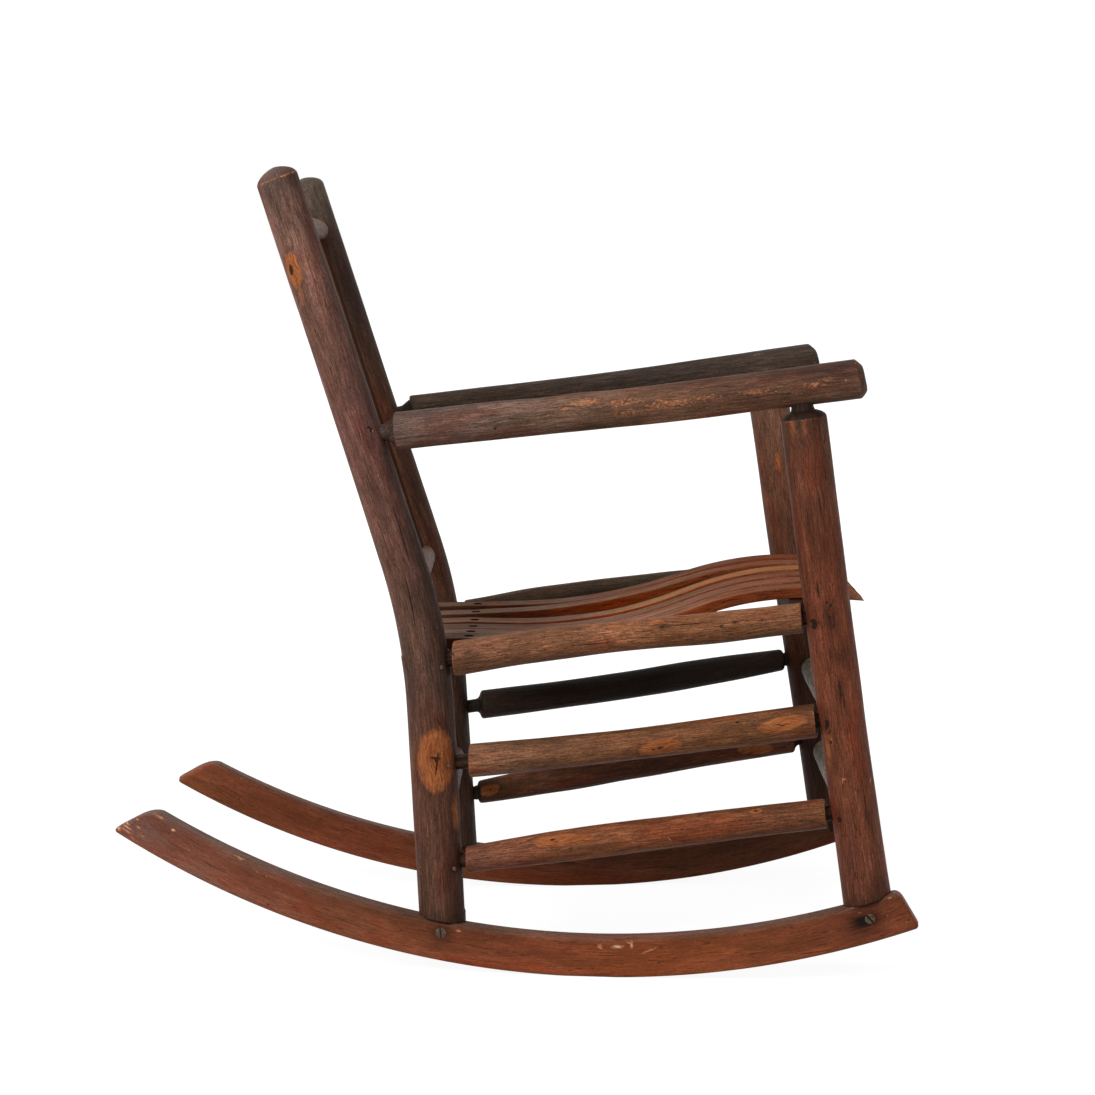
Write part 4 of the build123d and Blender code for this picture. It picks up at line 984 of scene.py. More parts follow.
# Each has its posts' line and radius, its height, radius and bow in mm, how far ahead it lies, its tint.
CROSS_RUNGS = {
    "front_seat_rail": (front_axis, front_radius, FRONT_RAIL_Z, 17.0, 0.0, 0.0, "3E2A20"),
    "rear_seat_rail": (rear_axis, rear_radius, REAR_RAIL_Z, 17.0, -6.9, 0.0, "3A2820"),
    "front_upper_stretcher": (front_axis, front_radius, 0.277, 15.1, 0.0, 0.003, "897D6B"),
    "front_lower_stretcher": (front_axis, front_radius, 0.172, 15.1, 0.0, 0.003, "8A7F6C"),
    "rear_stretcher": (rear_axis, rear_radius, 0.173, 15.1, 0.0, 0.004, "6A6254"),
    "back_top_rail": (rear_axis, rear_radius, BACK_TOP_Z, 13.6, 0.0, 0.0, "84705E"),
    "back_lower_rail": (rear_axis, rear_radius, BACK_LOW_Z, 14.0, 0.0, 0.0, "4E3C34"),
}
for number, (name, (axis, thick, z, radius_mm, bow_mm, ahead, tint)) in enumerate(CROSS_RUNGS.items()):
    right, left = axis("right", z) + [ahead, 0, 0], axis("left", z) + [ahead, 0, 0]
    unit = (left - right) / np.linalg.norm(left - right)
    gap = thick(z) + CROSS_GAP
    start, end = right + unit * gap, left - unit * gap
    length = np.linalg.norm(end - start)
    whole = length + 2 * gap

    def cross_bow(share, bow=bow_mm, gap=gap, length=length, whole=whole):
        """The crooked rail hangs by its bow times sin(pi x/whole), from post to post."""
        return 0 * share, bow * MM * np.sin(np.pi * (gap + share * length) / whole)

    taper = 0.0 if "seat" in name else 0.6
    radii = (radius_mm - taper, radius_mm, radius_mm, radius_mm, radius_mm - taper)
    middle_tint = tint if name in GREY_SHEEN else "5A3E30"
    tints = [(0, tint), (0.05, tint), (0.16, middle_tint), (0.5, middle_tint)]
    ends = [(0.0, radii[0] - 0.7), (0.3, radii[0] - 1.8), (0.5, 10.5), (0.7, 8.6), (3, 8), (21, 8), (21, 0)]
    stem(f"{name}_stem", name, "pole_wood", straight(start, end, cross_bow), quarter_curve(radii, length),
         length, ends, ends, tints, seed=61 + number, reference=(1, 0, 0), around=64, step=3.0, wobble=0.25,
         ridge=0.12, focus=0.0)

# %% [markdown]
# ## A skin for boards
# Runners, slats and battens are sawn boards. The skin is a rounded rectangle carried along a
# line. Its lower and upper edge may change along the way, which makes slanted and rounded ends.

# %% Board builder
STAIN_RING = 0.0006
OUT_OF_REACH = 5.0


def board(name, node, slot, heart, s, low, high, half_width, corner, tint, seed, reference=(0, 1, 0),
          wide=14, tall=6, width_marks=(), sinks=(), dash=0.5, slants=(0, 0), **marks):
    """A closed board: a rounded rectangle carried along a heart line.

    s lists the places along the line, low, high and half_width give the section's lower edge,
    upper edge and half its width at each, all in metres. The section runs round four
    quarter-circle corners of radius corner, or of half the height where the board gets thinner
    than that. slants are the lengths by which the upper edge stops short of the lower one at
    the two ends: a point at the share u of the height moves along by slant times u, fading out
    over 100 mm. wide and tall count the steps of the grid across and up the section, and
    width_marks adds lines across it. sinks are (place, radius, depth, stain) of countersunk holes
    in the upper face, each with a dark stain round it. A stain below 1 is longer across the
    grain. marks start with a place in metres and a height in mm.
    """
    half_width = np.broadcast_to(half_width, s.shape)[:, None]
    quarter = np.linspace(0, np.pi / 2, 5)
    flat = np.linspace(-1, 1, wide + 1)[1:-1]
    if len(width_marks):
        flat = np.unique(np.concatenate([flat, np.asarray(width_marks) / (half_width.max() - corner)]))
    upright = np.linspace(-1, 1, tall + 1)[1:-1]
    # Each loop point is (x of the corner's middle, y of it, x of the rounding, y of the rounding).
    loop = [(1, 1, np.cos(q), np.sin(q)) for q in quarter] + [(-f, 1, 0, 1) for f in flat]
    loop += [(-1, 1, -np.sin(q), np.cos(q)) for q in quarter] + [(-1, -u, -1, 0) for u in upright]
    loop += [(-1, -1, -np.cos(q), -np.sin(q)) for q in quarter] + [(f, -1, 0, -1) for f in flat]
    loop += [(1, -1, np.sin(q), -np.cos(q)) for q in quarter] + [(1, u, 1, 0) for u in upright]
    loop = np.array(loop)
    round_off = np.minimum(corner, (high - low) / 2 * 0.98)[:, None]
    middle = ((high + low) / 2)[:, None]
    half = ((high - low) / 2)[:, None]
    across = loop[None, :, 0] * (half_width - round_off) + loop[None, :, 2] * round_off
    up = middle + loop[None, :, 1] * (half - round_off) + loop[None, :, 3] * round_off
    share = np.clip(0.5 + up / np.median(high - low), 0, 1)
    fades = np.clip(1 - (s - s[0]) / 0.1, 0, 1)[:, None], np.clip(1 - (s[-1] - s) / 0.1, 0, 1)[:, None]
    place = s[:, None] + share * (slants[0] * fades[0] - slants[1] * fades[1])
    face = (loop[:, 1] == 1)[None, :] & (np.abs(loop[:, 2]) < 0.5)[None, :]
    sunk = np.zeros_like(across)
    stained = np.zeros_like(across)
    for hole, radius, depth, stain in sinks:
        reach = np.hypot(place - hole, across)
        sunk = np.maximum(sunk, depth * (reach < radius) * face)
        stained = np.maximum(stained, (np.hypot(place - hole, across * stain) < radius + STAIN_RING) * face)
    up = up - sunk
    centre, a, b = section_frame(heart, place, reference, 0.0005)
    rings = centre + across[..., None] * a + up[..., None] * b
    rings = np.concatenate([rings[:1].mean(axis=1, keepdims=True) + 0 * rings[:1], rings,
                            rings[-1:].mean(axis=1, keepdims=True) + 0 * rings[-1:]])
    pad = lambda values: np.concatenate([values[:1], values, values[-1:]])
    place, across, up = pad(place), pad(across), pad(up)
    wood = np.stack([place + seed * 1.3, across, up + 0.03 * np.sin(across * 9)], axis=-1)
    colours = tint(place, across, up)
    # Marks lie on the side that looks to the right, so the other side is pushed out of their reach.
    height_mm = np.where(across < 0, up, up + OUT_OF_REACH) / MM
    turned = {key: [(p[0] * 1000,) + tuple(p[1:]) for p in value] for key, value in marks.items()}
    fields = mark_fields(place / MM, height_mm, colours, dash, **turned)
    fields["wood"] = ("FLOAT_VECTOR", wood)
    if len(sinks):
        strengths = fields["marks"][1]
        strengths[..., 3] = np.maximum(strengths[..., 3], pad(stained) * 1.2)
    piece = ring_mesh(name, rings, fields)
    dress(piece, node, slot)
    return piece


print("board builder ready")

# %% [markdown]
# ## Runners
# A runner is one board bent or sawn to a long arc. Its plane passes through the two feet of its
# side, so the pair stands a little toed out. The lower edge is worn flat where the chair rests,
# and the tips are cut on a slant with the corners rounded off.

# %% Runners
def arc_heart(side):
    """Middle arc of a runner as a function of the distance from its lowest point, and its heading.

    The left board has sprung up a little towards its tail: its curl times the share of the tail
    to the power 1.5.
    """
    rear = np.array([REAR_FOOT_X[side], SIDES[side] * (REAR_HALF + RUNNER_OUT), 0])
    foot = front_foot(side)
    front = np.array([foot[0], SIDES[side] * (FRONT_HALF + RUNNER_OUT), 0])
    unit = (front - rear) / np.linalg.norm(front - rear)
    origin = rear + unit * (RUNNER_LOW_X - rear[0]) / unit[0]
    middle = RUNNER_R - RUNNER_DEPTH / 2

    def heart(s):
        s = np.asarray(s)[..., None]
        curl = RUNNER_CURL[side] * np.clip((-s - 0.2) / 0.33, 0, 1) ** 1.5
        up = RUNNER_CENTRE_Z - middle * np.cos(s / middle) + curl
        return origin + unit * middle * np.sin(s / middle) + np.array([0, 0, 1]) * up

    return heart, unit


def drawn_in(distance, radius):
    """How far an edge draws in near an end that is rounded to a radius: a quarter circle."""
    near = np.clip(distance / radius, 0, 1)
    return radius * (1 - np.sqrt(1 - (1 - near) ** 2))


RUNNER_ENDS = {"right": (-0.4469, 0.4455), "left": (-0.4269, 0.4455)}
RUNNER_CURL = {"right": 0.0, "left": 0.0035}
RUNNER_SLANTS = (0.0265, 0.0085)
RUNNER_CORNER = 0.0045
# Radii that round the tail and the nose: of the lower edge, of the upper edge and of the sides.
TAIL_ROUND, NOSE_ROUND = (0.006, 0.017, 0.005), (0.0045, 0.009, 0.005)
# How deep the grey band along the top edge reaches.
GREY_EDGE = 0.0065
RUNNER_MARKS = {
    "right": dict(
        worn=[(-0.546, -6, 8, 1.3, 1.3), (-0.541, -9.5, 10, 1.2, 1.25), (-0.539, -13.5, 9, 1.4, 1.2),
              (-0.549, -16, 4, 3, 1.15), (-0.530, -3, 5, 1.2, 1.15), (-0.532, -17, 7, 1.0, 1.1),
              (-0.536, 4, 3, 1.2, 1.05), (-0.524, -9, 8, 1.0, 1.0), (-0.44, 16, 24, 4, 0.42),
              (-0.37, 15, 26, 3, 0.45), (-0.515, 19.5, 10, 1.8, 0.95), (-0.4948, 14.5, 3.4, 2.0, 1.35),
              (-0.413, 20.5, 11, 1.6, 0.9), (-0.3885, 14, 2, 1, 1.0), (-0.3758, 13.4, 2, 1, 1.0),
              (-0.1504, 15.5, 3.5, 2, 1.1), (0.0104, 13.5, 4.2, 4.0, 0.98), (0.0300, 13.0, 9, 2.6, 1.25),
              (0.046, 14.6, 2.0, 5.0, 1.25), (0.0425, 17.0, 4, 1.5, 1.1), (0.064, 7.6, 11, 1.5, 1.1, 0.32),
              (0.070, 9.6, 5, 1.0, 1.0, 0.3), (0.2985, 20.5, 7, 1.5, 0.95), (0.3029, 13.6, 3.2, 1.2, 0.95),
              (0.3385, 19.5, 3, 2, 0.95), (0.3275, -3.7, 17, 0.5, 0.98, 1.1),
              (0.349, -8, 12, 0.6, 0.75, 1.1)],
        grime_and_shade=[(-0.1685, 9.0, 11, 10, 0.92), (0.305, 3.0, 20, 13, 1.15), (0.309, -8, 20, 9, 0.5),
               (-0.2, 20, 60, 3, 0.3), (0.12, 20, 40, 2, 0.3)],
        spots=[(0.30, -16, 1.0, 1.0, 0), (-0.30, 2, 10, 0.7, 0, 0.7), (0.18, -6, 14, 0.6, 0, 0.7)],
    ),
    "left": dict(
        worn=[(-0.46, 18, 12, 1.4, 0.6), (0.1, -20, 30, 1.2, 0.5)],
        # The broad patch high on the middle paints the shadow of the stretchers above it, and the other two
        # are stains round the screws.
        grime_and_shade=[(-0.1685, 9.0, 12, 11, 0.6), (0.309, 5.0, 21, 10, 0.6), (0.0, 16, 120, 12, 0.35)],
    ),
}
RUNNER_TINTS = {
    "right": [(-0.55, "6E4E45"), (-0.45, "774F40"), (-0.3, "71422D"), (-0.1, "7A412A"), (0.08, "8A482B"),
              (0.2, "7A4229"), (0.3, "723D28"), (0.36, "763F29")],
    # The far runner's darker tints are painted shade as well.
    "left": [(-0.53, "7F472F"), (-0.3, "763E29"), (-0.12, "683924"), (0.0, "5A3221"), (0.3, "522F21")],
}


def runner_tint(side):
    """Reddish brown, greyer on the top edge, paler where the lower edge is rubbed."""
    def tint(place, across, up):
        base = tint_along(place, RUNNER_TINTS[side])
        edge = np.clip((up - RUNNER_DEPTH / 2 + GREY_EDGE) / GREY_EDGE, 0, 1)[..., None]
        pale = np.clip((-up - RUNNER_DEPTH / 2 + 0.0032) / 0.003, 0, 1)[..., None]
        base = base * (1 - 0.18 * np.clip(up / RUNNER_DEPTH * 2, -1, 1))[..., None]
        return base * (1 - 0.5 * edge) + 0.5 * edge * linear("665247") + pale * 0.22 * linear("C08058")
    return tint


for number, side in enumerate(SIDES):
    heart, unit = arc_heart(side)
    middle = RUNNER_R - RUNNER_DEPTH / 2
    ends = [(x - RUNNER_LOW_X) / unit[0] for x in RUNNER_ENDS[side]]
    first, last = (math.asin(u / RUNNER_R) * middle for u in ends)
    # Points crowd towards the rounded ends.
    s = np.unique(np.concatenate([np.linspace(first, last, 620 if side == "right" else 360),
                                  first + np.geomspace(0.0001, 0.022, 40),
                                  last - np.geomspace(0.0001, 0.014, 36)]))
    # The lower edge is the arc, except on the worn flat, where it is the floor's own plane.
    low = middle - np.minimum(RUNNER_R, RUNNER_CENTRE_Z / np.cos(s / middle))
    # The four corners of the outline and the arrises of its ends are rounded.
    low = low + drawn_in(s - first, TAIL_ROUND[0]) + drawn_in(last - s, NOSE_ROUND[0])
    high = RUNNER_DEPTH / 2 - drawn_in(s - first, TAIL_ROUND[1]) - drawn_in(last - s, NOSE_ROUND[1])
    thick = RUNNER_THICK / 2 - drawn_in(s - first, TAIL_ROUND[2]) - drawn_in(last - s, NOSE_ROUND[2])
    board(f"rocker_{side}_board", f"rocker_{side}", "runner_wood", heart, s, low, high, thick,
          RUNNER_CORNER, runner_tint(side), seed=71 + number, reference=np.cross((0, 0, 1), unit), wide=8,
          tall=30, slants=RUNNER_SLANTS, **RUNNER_MARKS[side])

# %% [markdown]
# ## Seat slats
# Six thin boards were steamed over a form so that they dip under the sitter and rise over the
# front rail. Their front ends are cut on a slant. Two countersunk screws hold each to hidden
# battens. Trousers have polished the tops, and the sides kept the red stain. The tops' grey brown
# is partly that polish and partly a painted sheen, and the sides' pale front tip is a painted light.

# %% Seat slats
SLATS, SLAT_HALF, SLAT_THICK = 6, 0.025, 0.0115
# The top line's rear end, its corners at the dip and at the crest, and its front end, as (x, z).
SLAT_REAR = (-0.110, 0.3605)
SLAT_DIP = (0.102, 0.3669)
SLAT_CREST = (0.272, 0.4253)
SLAT_FRONT = (0.387, 0.4253)
PITCH_REAR, PITCH_FRONT = 0.0625, 0.067
SAG = 0.0069
BATTEN_X = {"front": 0.316, "rear": -0.049}
# Radius, depth and stain of the countersunk holes over each batten.
SLAT_SINKS = {"front": (0.0034, 0.0016, 1.5), "rear": (0.0050, 0.0018, 0.72)}
SLAT_CORNER = 0.0016
# The front end's slant starts this far before the end of the line, and this is its length.
SLANT_BEFORE, SLANT_LENGTH = 0.0105, 0.0135
BROKEN_EDGE = 0.0012
# How far the slats, from right to left, have sprung from the common line, in mm, at the places in
# SPRING_X. The last three places are the same for all.
SPRING_X = (-0.055, 0.0, 0.064, 0.125, 0.185, 0.25, 0.32, 0.348, 0.387)
SPRING = (
    (0, -1.0, -2.2, -2.6, -1.6, 0.2),
    (0, -1.8, -3.0, -3.4, -2.6, -0.8),
    (0, -2.4, -3.6, -4.4, -3.4, -1.4),
    (0, -2.6, -3.4, -4.2, -3.4, -1.4),
    (0, 1.5, 3.7, 4.2, 2.8, 0.9),
    (0, 0.1, 0.5, 0.8, 0.4, 0.1),
)
FRONT_SPRING = (0, -0.2, -2.0)
# How much of the stain trousers have rubbed off each slat's front half.
RUBBED = (0.10, 0.02, 0.08, 0.42, 0.05, 0.0)
# Colour along a slat, on its top and on its sides. The top's grey is partly a painted sheen, and
# the pale last stops of the sides paint light on the front tip.
SLAT_TOP = [(0, "705A4F"), (0.15, "80695C"), (0.28, "856353"), (0.36, "80594A"), (0.5, "744A38")]
SLAT_SIDES = [(0, "42241A"), (0.1, "542A18"), (0.22, "7C3614"), (0.38, "72381E"), (0.468, "703A20"),
              (0.485, "8A5A40"), (0.5, "A87A5E")]


def slat_line():
    """Middle line of a slat in its own upright plane: three straights joined by two wide arcs.

    Returns a function of the distance along the line, and the line's whole length.
    """
    half = SLAT_THICK / 2
    corners = [np.array([x, z - half]) for x, z in (SLAT_REAR, SLAT_DIP, SLAT_CREST, SLAT_FRONT)]
    radii = (0.600, 0.390)
    points = [corners[0]]
    for before, corner, after, radius in zip(corners, corners[1:], corners[2:], radii):
        u = (corner - before) / np.linalg.norm(corner - before)
        v = (after - corner) / np.linalg.norm(after - corner)
        turn = math.atan2(u[0] * v[1] - u[1] * v[0], u @ v)
        reach = radius * math.tan(abs(turn) / 2)
        side = math.copysign(1, turn)
        centre = corner - u * reach + side * radius * np.array([-u[1], u[0]])
        angles = np.linspace(0, turn, 60)
        begin = corner - u * reach - centre
        rotated = np.stack([begin[0] * np.cos(angles) - begin[1] * np.sin(angles),
                            begin[0] * np.sin(angles) + begin[1] * np.cos(angles)], axis=-1)
        points.extend(centre + rotated)
    points.append(corners[-1])
    points = np.array(points)
    steps = np.concatenate([[0], np.cumsum(np.linalg.norm(np.diff(points, axis=0), axis=1))])

    def line(s):
        inside = np.clip(s, 0, steps[-1])
        extra = s - inside
        x = np.interp(inside, steps, points[:, 0]) + extra
        z = np.interp(inside, steps, points[:, 1])
        return x, z

    return line, steps[-1]


def rear_sag(y):
    """How far the crooked rear rail lies below its ends, at a distance y from the middle."""
    return SAG * math.cos(math.pi * y / (2 * REAR_HALF))


def slat_tint(index):
    """Grey brown on top, partly a painted sheen, red brown on the sides, with a rubbed front for
    some slats. The pale front tip of the sides is a painted light.
    """
    def tint(place, across, up):
        top = tint_along(place, SLAT_TOP)
        worn = RUBBED[index] * np.clip((place - 0.18) / 0.08, 0, 1)[..., None]
        top = top * (1 - worn) + worn * linear("C08A5C")
        side = tint_along(place, SLAT_SIDES)
        share = np.clip((SLAT_HALF - 0.0018 - np.abs(across)) / 0.0010, 0, 1)[..., None]
        shade = 1 + 0.10 * math.sin(index * 2.3)
        return (top * share + side * (1 - share)) * shade
    return tint


line, slat_length = slat_line()
centre_line = np.linspace(0, slat_length, 4000)
slat_x = line(centre_line)[0]
screw_s = {key: float(np.interp(x, slat_x, centre_line)) for key, x in BATTEN_X.items()}
pivot_x = front_axis("right", FRONT_RAIL_Z)[0]
pivot_z = SLAT_FRONT[1] - SLAT_THICK
rear_x = rear_axis("right", REAR_RAIL_Z)[0]
for index in range(SLATS):
    place_no = index - (SLATS - 1) / 2
    fan = math.atan2(place_no * (PITCH_FRONT - PITCH_REAR), BATTEN_X["front"] - BATTEN_X["rear"])
    lift = SAG - rear_sag(abs(place_no) * PITCH_REAR + SLAT_HALF)
    pitch = math.atan2(lift, pivot_x - rear_x)

    def slat_heart(s, fan=fan, pitch=pitch, place_no=place_no, spring=SPRING[index] + FRONT_SPRING):
        """The slat's line, sprung a little, tipped up at the rear by pitch and turned by fan.

        Both turns are about the slat's middle over the front rail.
        """
        x, z = line(np.asarray(s))
        z = z + eased(x, SPRING_X, spring) * MM
        x, z = x - pivot_x, z - pivot_z
        x, z = x * math.cos(pitch) + z * math.sin(pitch), z * math.cos(pitch) - x * math.sin(pitch)
        y = place_no * PITCH_FRONT + x * math.sin(fan)
        return np.stack([pivot_x + x * math.cos(fan), y, pivot_z + z], axis=-1)

    # Points crowd round the screws and towards the front end.
    dense = [screw_s[key] + np.linspace(-0.007, 0.007, 29) for key in BATTEN_X]
    s = np.unique(np.concatenate([np.linspace(0, slat_length, 190), *dense,
                                  np.linspace(slat_length - 0.012, slat_length + 0.003, 14)]))
    half = SLAT_THICK / 2
    drop = np.clip((s - (slat_length - SLANT_BEFORE)) / SLANT_LENGTH, 0, 1)
    high = half - 2 * half * drop**1.25 * 0.97
    low = np.full_like(s, -half)
    # The square-sawn rear end has a slightly broken edge.
    high = high - BROKEN_EDGE * np.clip(1 - s / BROKEN_EDGE, 0, 1) ** 2
    low = low + BROKEN_EDGE * np.clip(1 - s / BROKEN_EDGE, 0, 1) ** 2
    board(f"seat_slat_{index + 1}_board", f"seat_slat_{index + 1}", "slat_wood", slat_heart, s, low, high,
          SLAT_HALF, SLAT_CORNER, slat_tint(index), seed=81 + index, tall=4,
          width_marks=np.linspace(-0.0085, 0.0085, 29),
          sinks=[(screw_s[key], *SLAT_SINKS[key]) for key in BATTEN_X],
          worn=[(0.40 + 0.012 * index, 5.0, 70, 3, 0.44), (0.30, 5.0, 50, 2, 0.36),
                (slat_length, 0, 5, 6, 0.75)],
          dash=1.0)

# %% [markdown]
# ## Back slats and battens
# Five thin straight slats fill the back between its two rails, let into pockets. Two battens
# under the seat take the screws. The rear one is bent to the seat's hollow.

# %% Back slats and battens
BACK_SLATS, BACK_PITCH, BACK_HALF, BACK_THICK, LET_IN = 5, 0.072, 0.022, 0.008, 0.009
# Radii of the back's top and lower rail.
TOP_RAIL_R, LOWER_RAIL_R = 0.0136, 0.0140
BATTEN_THICK, BATTEN_HALF, BATTEN_SHORT = 0.020, 0.009, 0.004


def plain_tint(hex_colour):
    """One colour for a whole board."""
    return lambda place, across, up: tint_along(place, [(0, hex_colour), (1, hex_colour)])


for index in range(BACK_SLATS):
    y = (index - (BACK_SLATS - 1) / 2) * BACK_PITCH
    share = y / (2 * REAR_HALF) + 0.5
    ends = [rear_axis("right", z) * (1 - share) + rear_axis("left", z) * share
            for z in (BACK_TOP_Z, BACK_LOW_Z)]
    unit = (ends[1] - ends[0]) / np.linalg.norm(ends[1] - ends[0])
    start = ends[0] + unit * (TOP_RAIL_R - LET_IN)
    end = ends[1] - unit * (LOWER_RAIL_R - LET_IN)
    length = np.linalg.norm(end - start)
    s = np.linspace(0, length, 90)
    half = BACK_THICK / 2 + 0 * s
    board(f"back_slat_{index + 1}_board", f"back_slat_{index + 1}", "slat_wood", straight(start, end), s,
          -half, half, BACK_HALF, 0.0012, plain_tint("4A3023"), seed=91 + index, wide=10, tall=3)

# The rear batten follows the slats' undersides, which rise to both sides of the sagging rail.
share = (pivot_x - BATTEN_X["rear"]) / (pivot_x - rear_x)
for number, (key, x) in enumerate(BATTEN_X.items()):
    pitch_here = PITCH_FRONT if key == "front" else PITCH_REAR
    reach = (SLATS - 1) / 2 * pitch_here + SLAT_HALF - BATTEN_SHORT
    rise = 0.0 if key == "front" else share * (SAG - rear_sag(reach))
    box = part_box(f"seat_batten_{key}")
    middle_z = box[0][2] + BATTEN_THICK / 2
    s = np.linspace(-reach, reach, 80)
    lift = rise * (s / reach) ** 2

    def batten_heart(s, x=x, middle_z=middle_z):
        """A level line across the chair."""
        s = np.asarray(s)
        return np.stack([x + 0 * s, s, middle_z + 0 * s], axis=-1)

    # The section's own up looks down here, so the lift is taken off.
    board(f"seat_batten_{key}_bar", f"seat_batten_{key}", "batten_wood", batten_heart, s,
          -BATTEN_THICK / 2 - lift, BATTEN_THICK / 2 - lift, BATTEN_HALF, 0.001, plain_tint("3A271D"),
          seed=97 + number, reference=(1, 0, 0), wide=4, tall=4)

# %% [markdown]
# ## Screws and nails
# A large slotted screw goes through each runner into the tenon of each foot. Twelve nails pin
# the side tenons. The heads are old steel, blackened by the wood's tannin, with a dark stain
# round them. Each head is a low dome, and the screws have a slot cut across it.

# %% Screw and nail heads
def head_rings(centre, outward, radius, height, shank, length, slot_turn=None, slot=(0.0016, 0.0013),
               around=112, rim=0.0005):
    """Rings of a domed head on a shank: from the middle of the dome out, over the rim and down.

    The dome's height falls with the square of the distance from its middle, and faster near its
    rim. slot is (width, depth): the groove's depth times exp(-(distance from its line / 0.55 of
    its width)^6).
    """
    outward = np.asarray(outward, float) / np.linalg.norm(outward)
    a = np.cross(outward, (0, 0, 1.0))
    a /= np.linalg.norm(a)
    b = np.cross(outward, a)
    shares = np.concatenate([np.linspace(0, 0.92, 24), [0.95, 0.975, 0.99, 1.0]])
    r = np.concatenate([shares * radius, [radius, shank, shank, 0]])
    dome = height * (1 - 0.35 * shares**2 - 0.35 * shares**10)
    h = np.concatenate([dome, [-rim, -rim - 0.0001, -length, -length]])
    t = np.linspace(0, 2 * np.pi, around, endpoint=False)
    x, y = r[:, None] * np.cos(t), r[:, None] * np.sin(t)
    z = h[:, None] + 0 * x
    if slot_turn is not None:
        off = np.abs(x * math.sin(slot_turn) - y * math.cos(slot_turn))
        groove = slot[1] * np.exp(-(off / (0.55 * slot[0])) ** 6)
        z = z - groove * (np.arange(len(r)) < len(shares))[:, None]
    points = np.asarray(centre) + x[..., None] * a + y[..., None] * b + z[..., None] * outward
    return points[::-1]


def join_heads(name, node, slot, heads):
    """One piece with a closed skin for each head."""
    pieces = [ring_mesh(f"{name}_{i}", rings, {}) for i, rings in enumerate(heads)]
    chosen = dict(active_object=pieces[0], selected_editable_objects=pieces, object=pieces[0])
    with bpy.context.temp_override(**chosen):
        bpy.ops.object.join()
    pieces[0].name = name
    dress(pieces[0], node, slot)


# How far below the foot each screw sits, and the turn of its slot in degrees.
RUNNER_SCREWS = {"rear": (0.013, 4), "front": (0.018, 42)}
SCREW_SUNK = 0.0008
heads = []
for side in SIDES:
    heart, unit = arc_heart(side)
    outward = np.cross(unit, (0, 0, 1)) * (1 if SIDES[side] < 0 else -1)
    for end, (drop, turn) in RUNNER_SCREWS.items():
        foot = rear_points(side)[0] if end == "rear" else front_foot(side)
        lean = LEG_LEAN[side] if end == "rear" else FRONT_LEAN[side]
        middle = foot + np.array([0, SIDES[side] * RUNNER_OUT, 0]) - lean_vector(lean) * drop
        centre = middle + outward * (RUNNER_THICK / 2 - SCREW_SUNK)
        heads.append(head_rings(centre, outward, radius=0.0064, height=0.0016, shank=0.0026, length=0.022,
                                slot_turn=math.radians(90 + turn)))
join_heads("rocker_screw_heads", "rocker_screws", "screw_steel", heads)

NAIL_DROP = {"seat_side_rail": 0.006, "upper_side_stretcher": 0.0, "lower_side_stretcher": 0.005}
# How far along the rung from the post's heart a nail sits, and by what share of the skin's turn it tips.
NAIL_ALONG, NAIL_TIP = 0.018, 0.8
# Radius of a head, and how proud of the post's skin it stands. One is a larger peg.
NAIL_HEAD, PEG_HEAD = (0.0024, -0.0002), (0.0051, 0.0004)
PEG = ("seat_side_rail", "right", "front")
heads = []
for kind, data in SIDE_RUNGS.items():
    for side in SIDES:
        rear = rear_axis(side, data["z"][0] - RUNG_DROP[side])
        front = front_axis(side, data["z"][1] - RUNG_DROP[side])
        unit = (front - rear) / np.linalg.norm(front - rear)
        outward = np.array([0, SIDES[side], 0.0])
        ends = {"rear": (rear, unit, rear_radius(data["z"][0])),
                "front": (front, -unit, front_radius(data["z"][1]))}
        for end, (heart_point, inward, radius) in ends.items():
            head, proud = PEG_HEAD if (kind, side, end) == PEG else NAIL_HEAD
            point = heart_point + inward * NAIL_ALONG
            # The head sits on the round skin of the post, and tips with it.
            turn = math.asin(NAIL_ALONG / radius)
            face = point - np.array([0, 0, NAIL_DROP[kind]]) + outward * (radius * math.cos(turn) + proud)
            tipped = outward * math.cos(NAIL_TIP * turn) + inward * math.sin(NAIL_TIP * turn)
            heads.append(head_rings(face, tipped, head, height=0.0010, shank=0.0012, length=0.014,
                                    around=36, rim=0.0012))
join_heads("joint_nail_heads", "joint_nails", "nail_steel", heads)

slat_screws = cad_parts["seat_slat_screws"]
slat_screws.data.materials.clear()
slat_screws.data.materials.append(sunk_steel)
print("slat screws keep their packed shape")

# %% [markdown]
# ## Studio
# A pale floor and three wide, soft lights show the wood without hard highlights: two stand on the
# camera's side and one hangs above. The background is white only for the camera and for
# reflections, so that it adds little light to the chair.

# %% Floor, light and camera
def floor_material():
    """Pale matt floor. What the camera sees is mostly plain white, so only a faint shadow stays."""
    material = bpy.data.materials.new("studio_floor_pale")
    material.use_nodes = True
    tree = material.node_tree
    tree.nodes.clear()
    path = add(tree, "ShaderNodeLightPath", out=None)
    direct = add(tree, MATH, (path.outputs["Is Camera Ray"], path.outputs["Is Glossy Ray"]), **LARGER)
    grey = add(tree, BLEND, {0: direct, 6: "ACACAC", 7: "F7F7F7"}, **COLOUR)
    matt = add(tree, "ShaderNodeBsdfDiffuse", {"Color": grey})
    place = add(tree, "ShaderNodeTexCoord", out="Object")
    far = add(tree, VECTOR, (place,), out="Value", operation="LENGTH")
    glow = add(tree, STEP, (far, 0.7, 2.0, 1.10, 1.3))
    white = add(tree, "ShaderNodeEmission", {"Color": "FFFFFF", "Strength": glow})
    share = add(tree, MATH, (direct, 0.84), **TIMES)
    both = add(tree, "ShaderNodeMixShader", (share, matt, white))
    add(tree, "ShaderNodeOutputMaterial", {"Surface": both}, out=None)
    return material


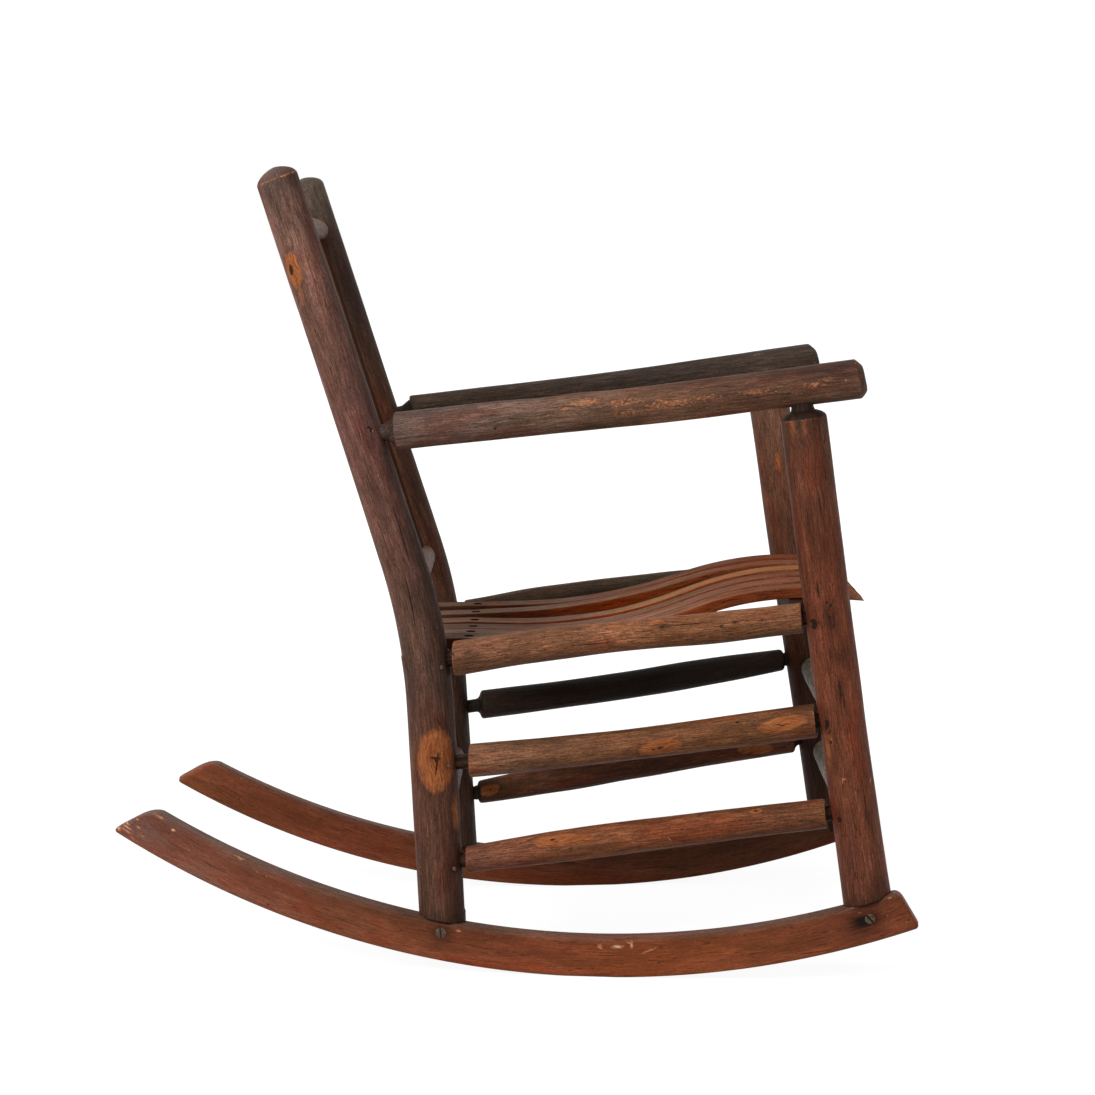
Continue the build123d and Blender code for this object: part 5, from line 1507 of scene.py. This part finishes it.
floor_mesh = bpy.data.meshes.new("studio_floor")
floor_mesh.from_pydata([(-30, -30, 0), (30, -30, 0), (30, 60, 0), (-30, 60, 0)], [], [(0, 1, 2, 3)])
floor = bpy.data.objects.new("studio_floor", floor_mesh)
bpy.context.scene.collection.objects.link(floor)
floor_mesh.materials.append(floor_material())

world = bpy.data.worlds.new("studio")
bpy.context.scene.world = world
world.use_nodes = True
tree = world.node_tree
tree.nodes.clear()
path = add(tree, "ShaderNodeLightPath", out=None)
seen = add(tree, MATH, (path.outputs["Is Camera Ray"], path.outputs["Is Glossy Ray"]), **LARGER)
seen = add(tree, MATH, (seen, path.outputs["Is Transmission Ray"]), **LARGER)
dim = add(tree, "ShaderNodeBackground", {"Color": "FFFFFF", "Strength": 0.30})
bright = add(tree, "ShaderNodeBackground", {"Color": "FFFFFF", "Strength": 1.0})
both = add(tree, "ShaderNodeMixShader", (seen, dim, bright))
add(tree, "ShaderNodeOutputWorld", {"Surface": both}, out=None)


def area_light(name, place, target, size, power):
    """A square soft light that looks at a point."""
    data = bpy.data.lights.new(name, "AREA")
    data.size = size
    data.energy = power
    lamp = bpy.data.objects.new(name, data)
    lamp.location = place
    lamp.rotation_euler = (Vector(target) - Vector(place)).to_track_quat("-Z", "Y").to_euler()
    bpy.context.scene.collection.objects.link(lamp)


area_light("left_front_softbox", (-2.2, -2.8, 2.2), (0, 0, 0.4), size=1.5, power=128)
area_light("right_front_softbox", (2.2, -2.6, 1.5), (0, 0, 0.4), size=1.4, power=20)
area_light("top_softbox", (0.1, -0.4, 3.0), (0, 0, 0.3), size=1.8, power=32)

# The camera's place, how far it looks down and its small turn to the left, in degrees.
CAMERA_PLACE, LOOK_DOWN, LOOK_LEFT = (0.06369, -3.30591, 0.77001), 5.5, 0.4534
SENSOR_WIDTH = 36.0
# Focal length as a multiple of the frame's width.
FOCAL_SHARE = 2830 / 1095
lens_data = bpy.data.cameras.new("studio_camera")
camera = bpy.data.objects.new("studio_camera", lens_data)
lens_data.sensor_width = SENSOR_WIDTH
lens_data.lens = FOCAL_SHARE * SENSOR_WIDTH
camera.location = CAMERA_PLACE
camera.rotation_euler = (math.radians(90 - LOOK_DOWN), 0.0, math.radians(LOOK_LEFT))
bpy.context.scene.collection.objects.link(camera)
bpy.context.scene.camera = camera
bpy.context.scene.view_settings.view_transform = "Standard"

shown = [o.data for o in bpy.data.objects if o.type == "MESH" and o is not floor and not o.hide_render]
print("triangles shown:", sum(len(mesh.loops) - 2 * len(mesh.polygons) for mesh in shown))
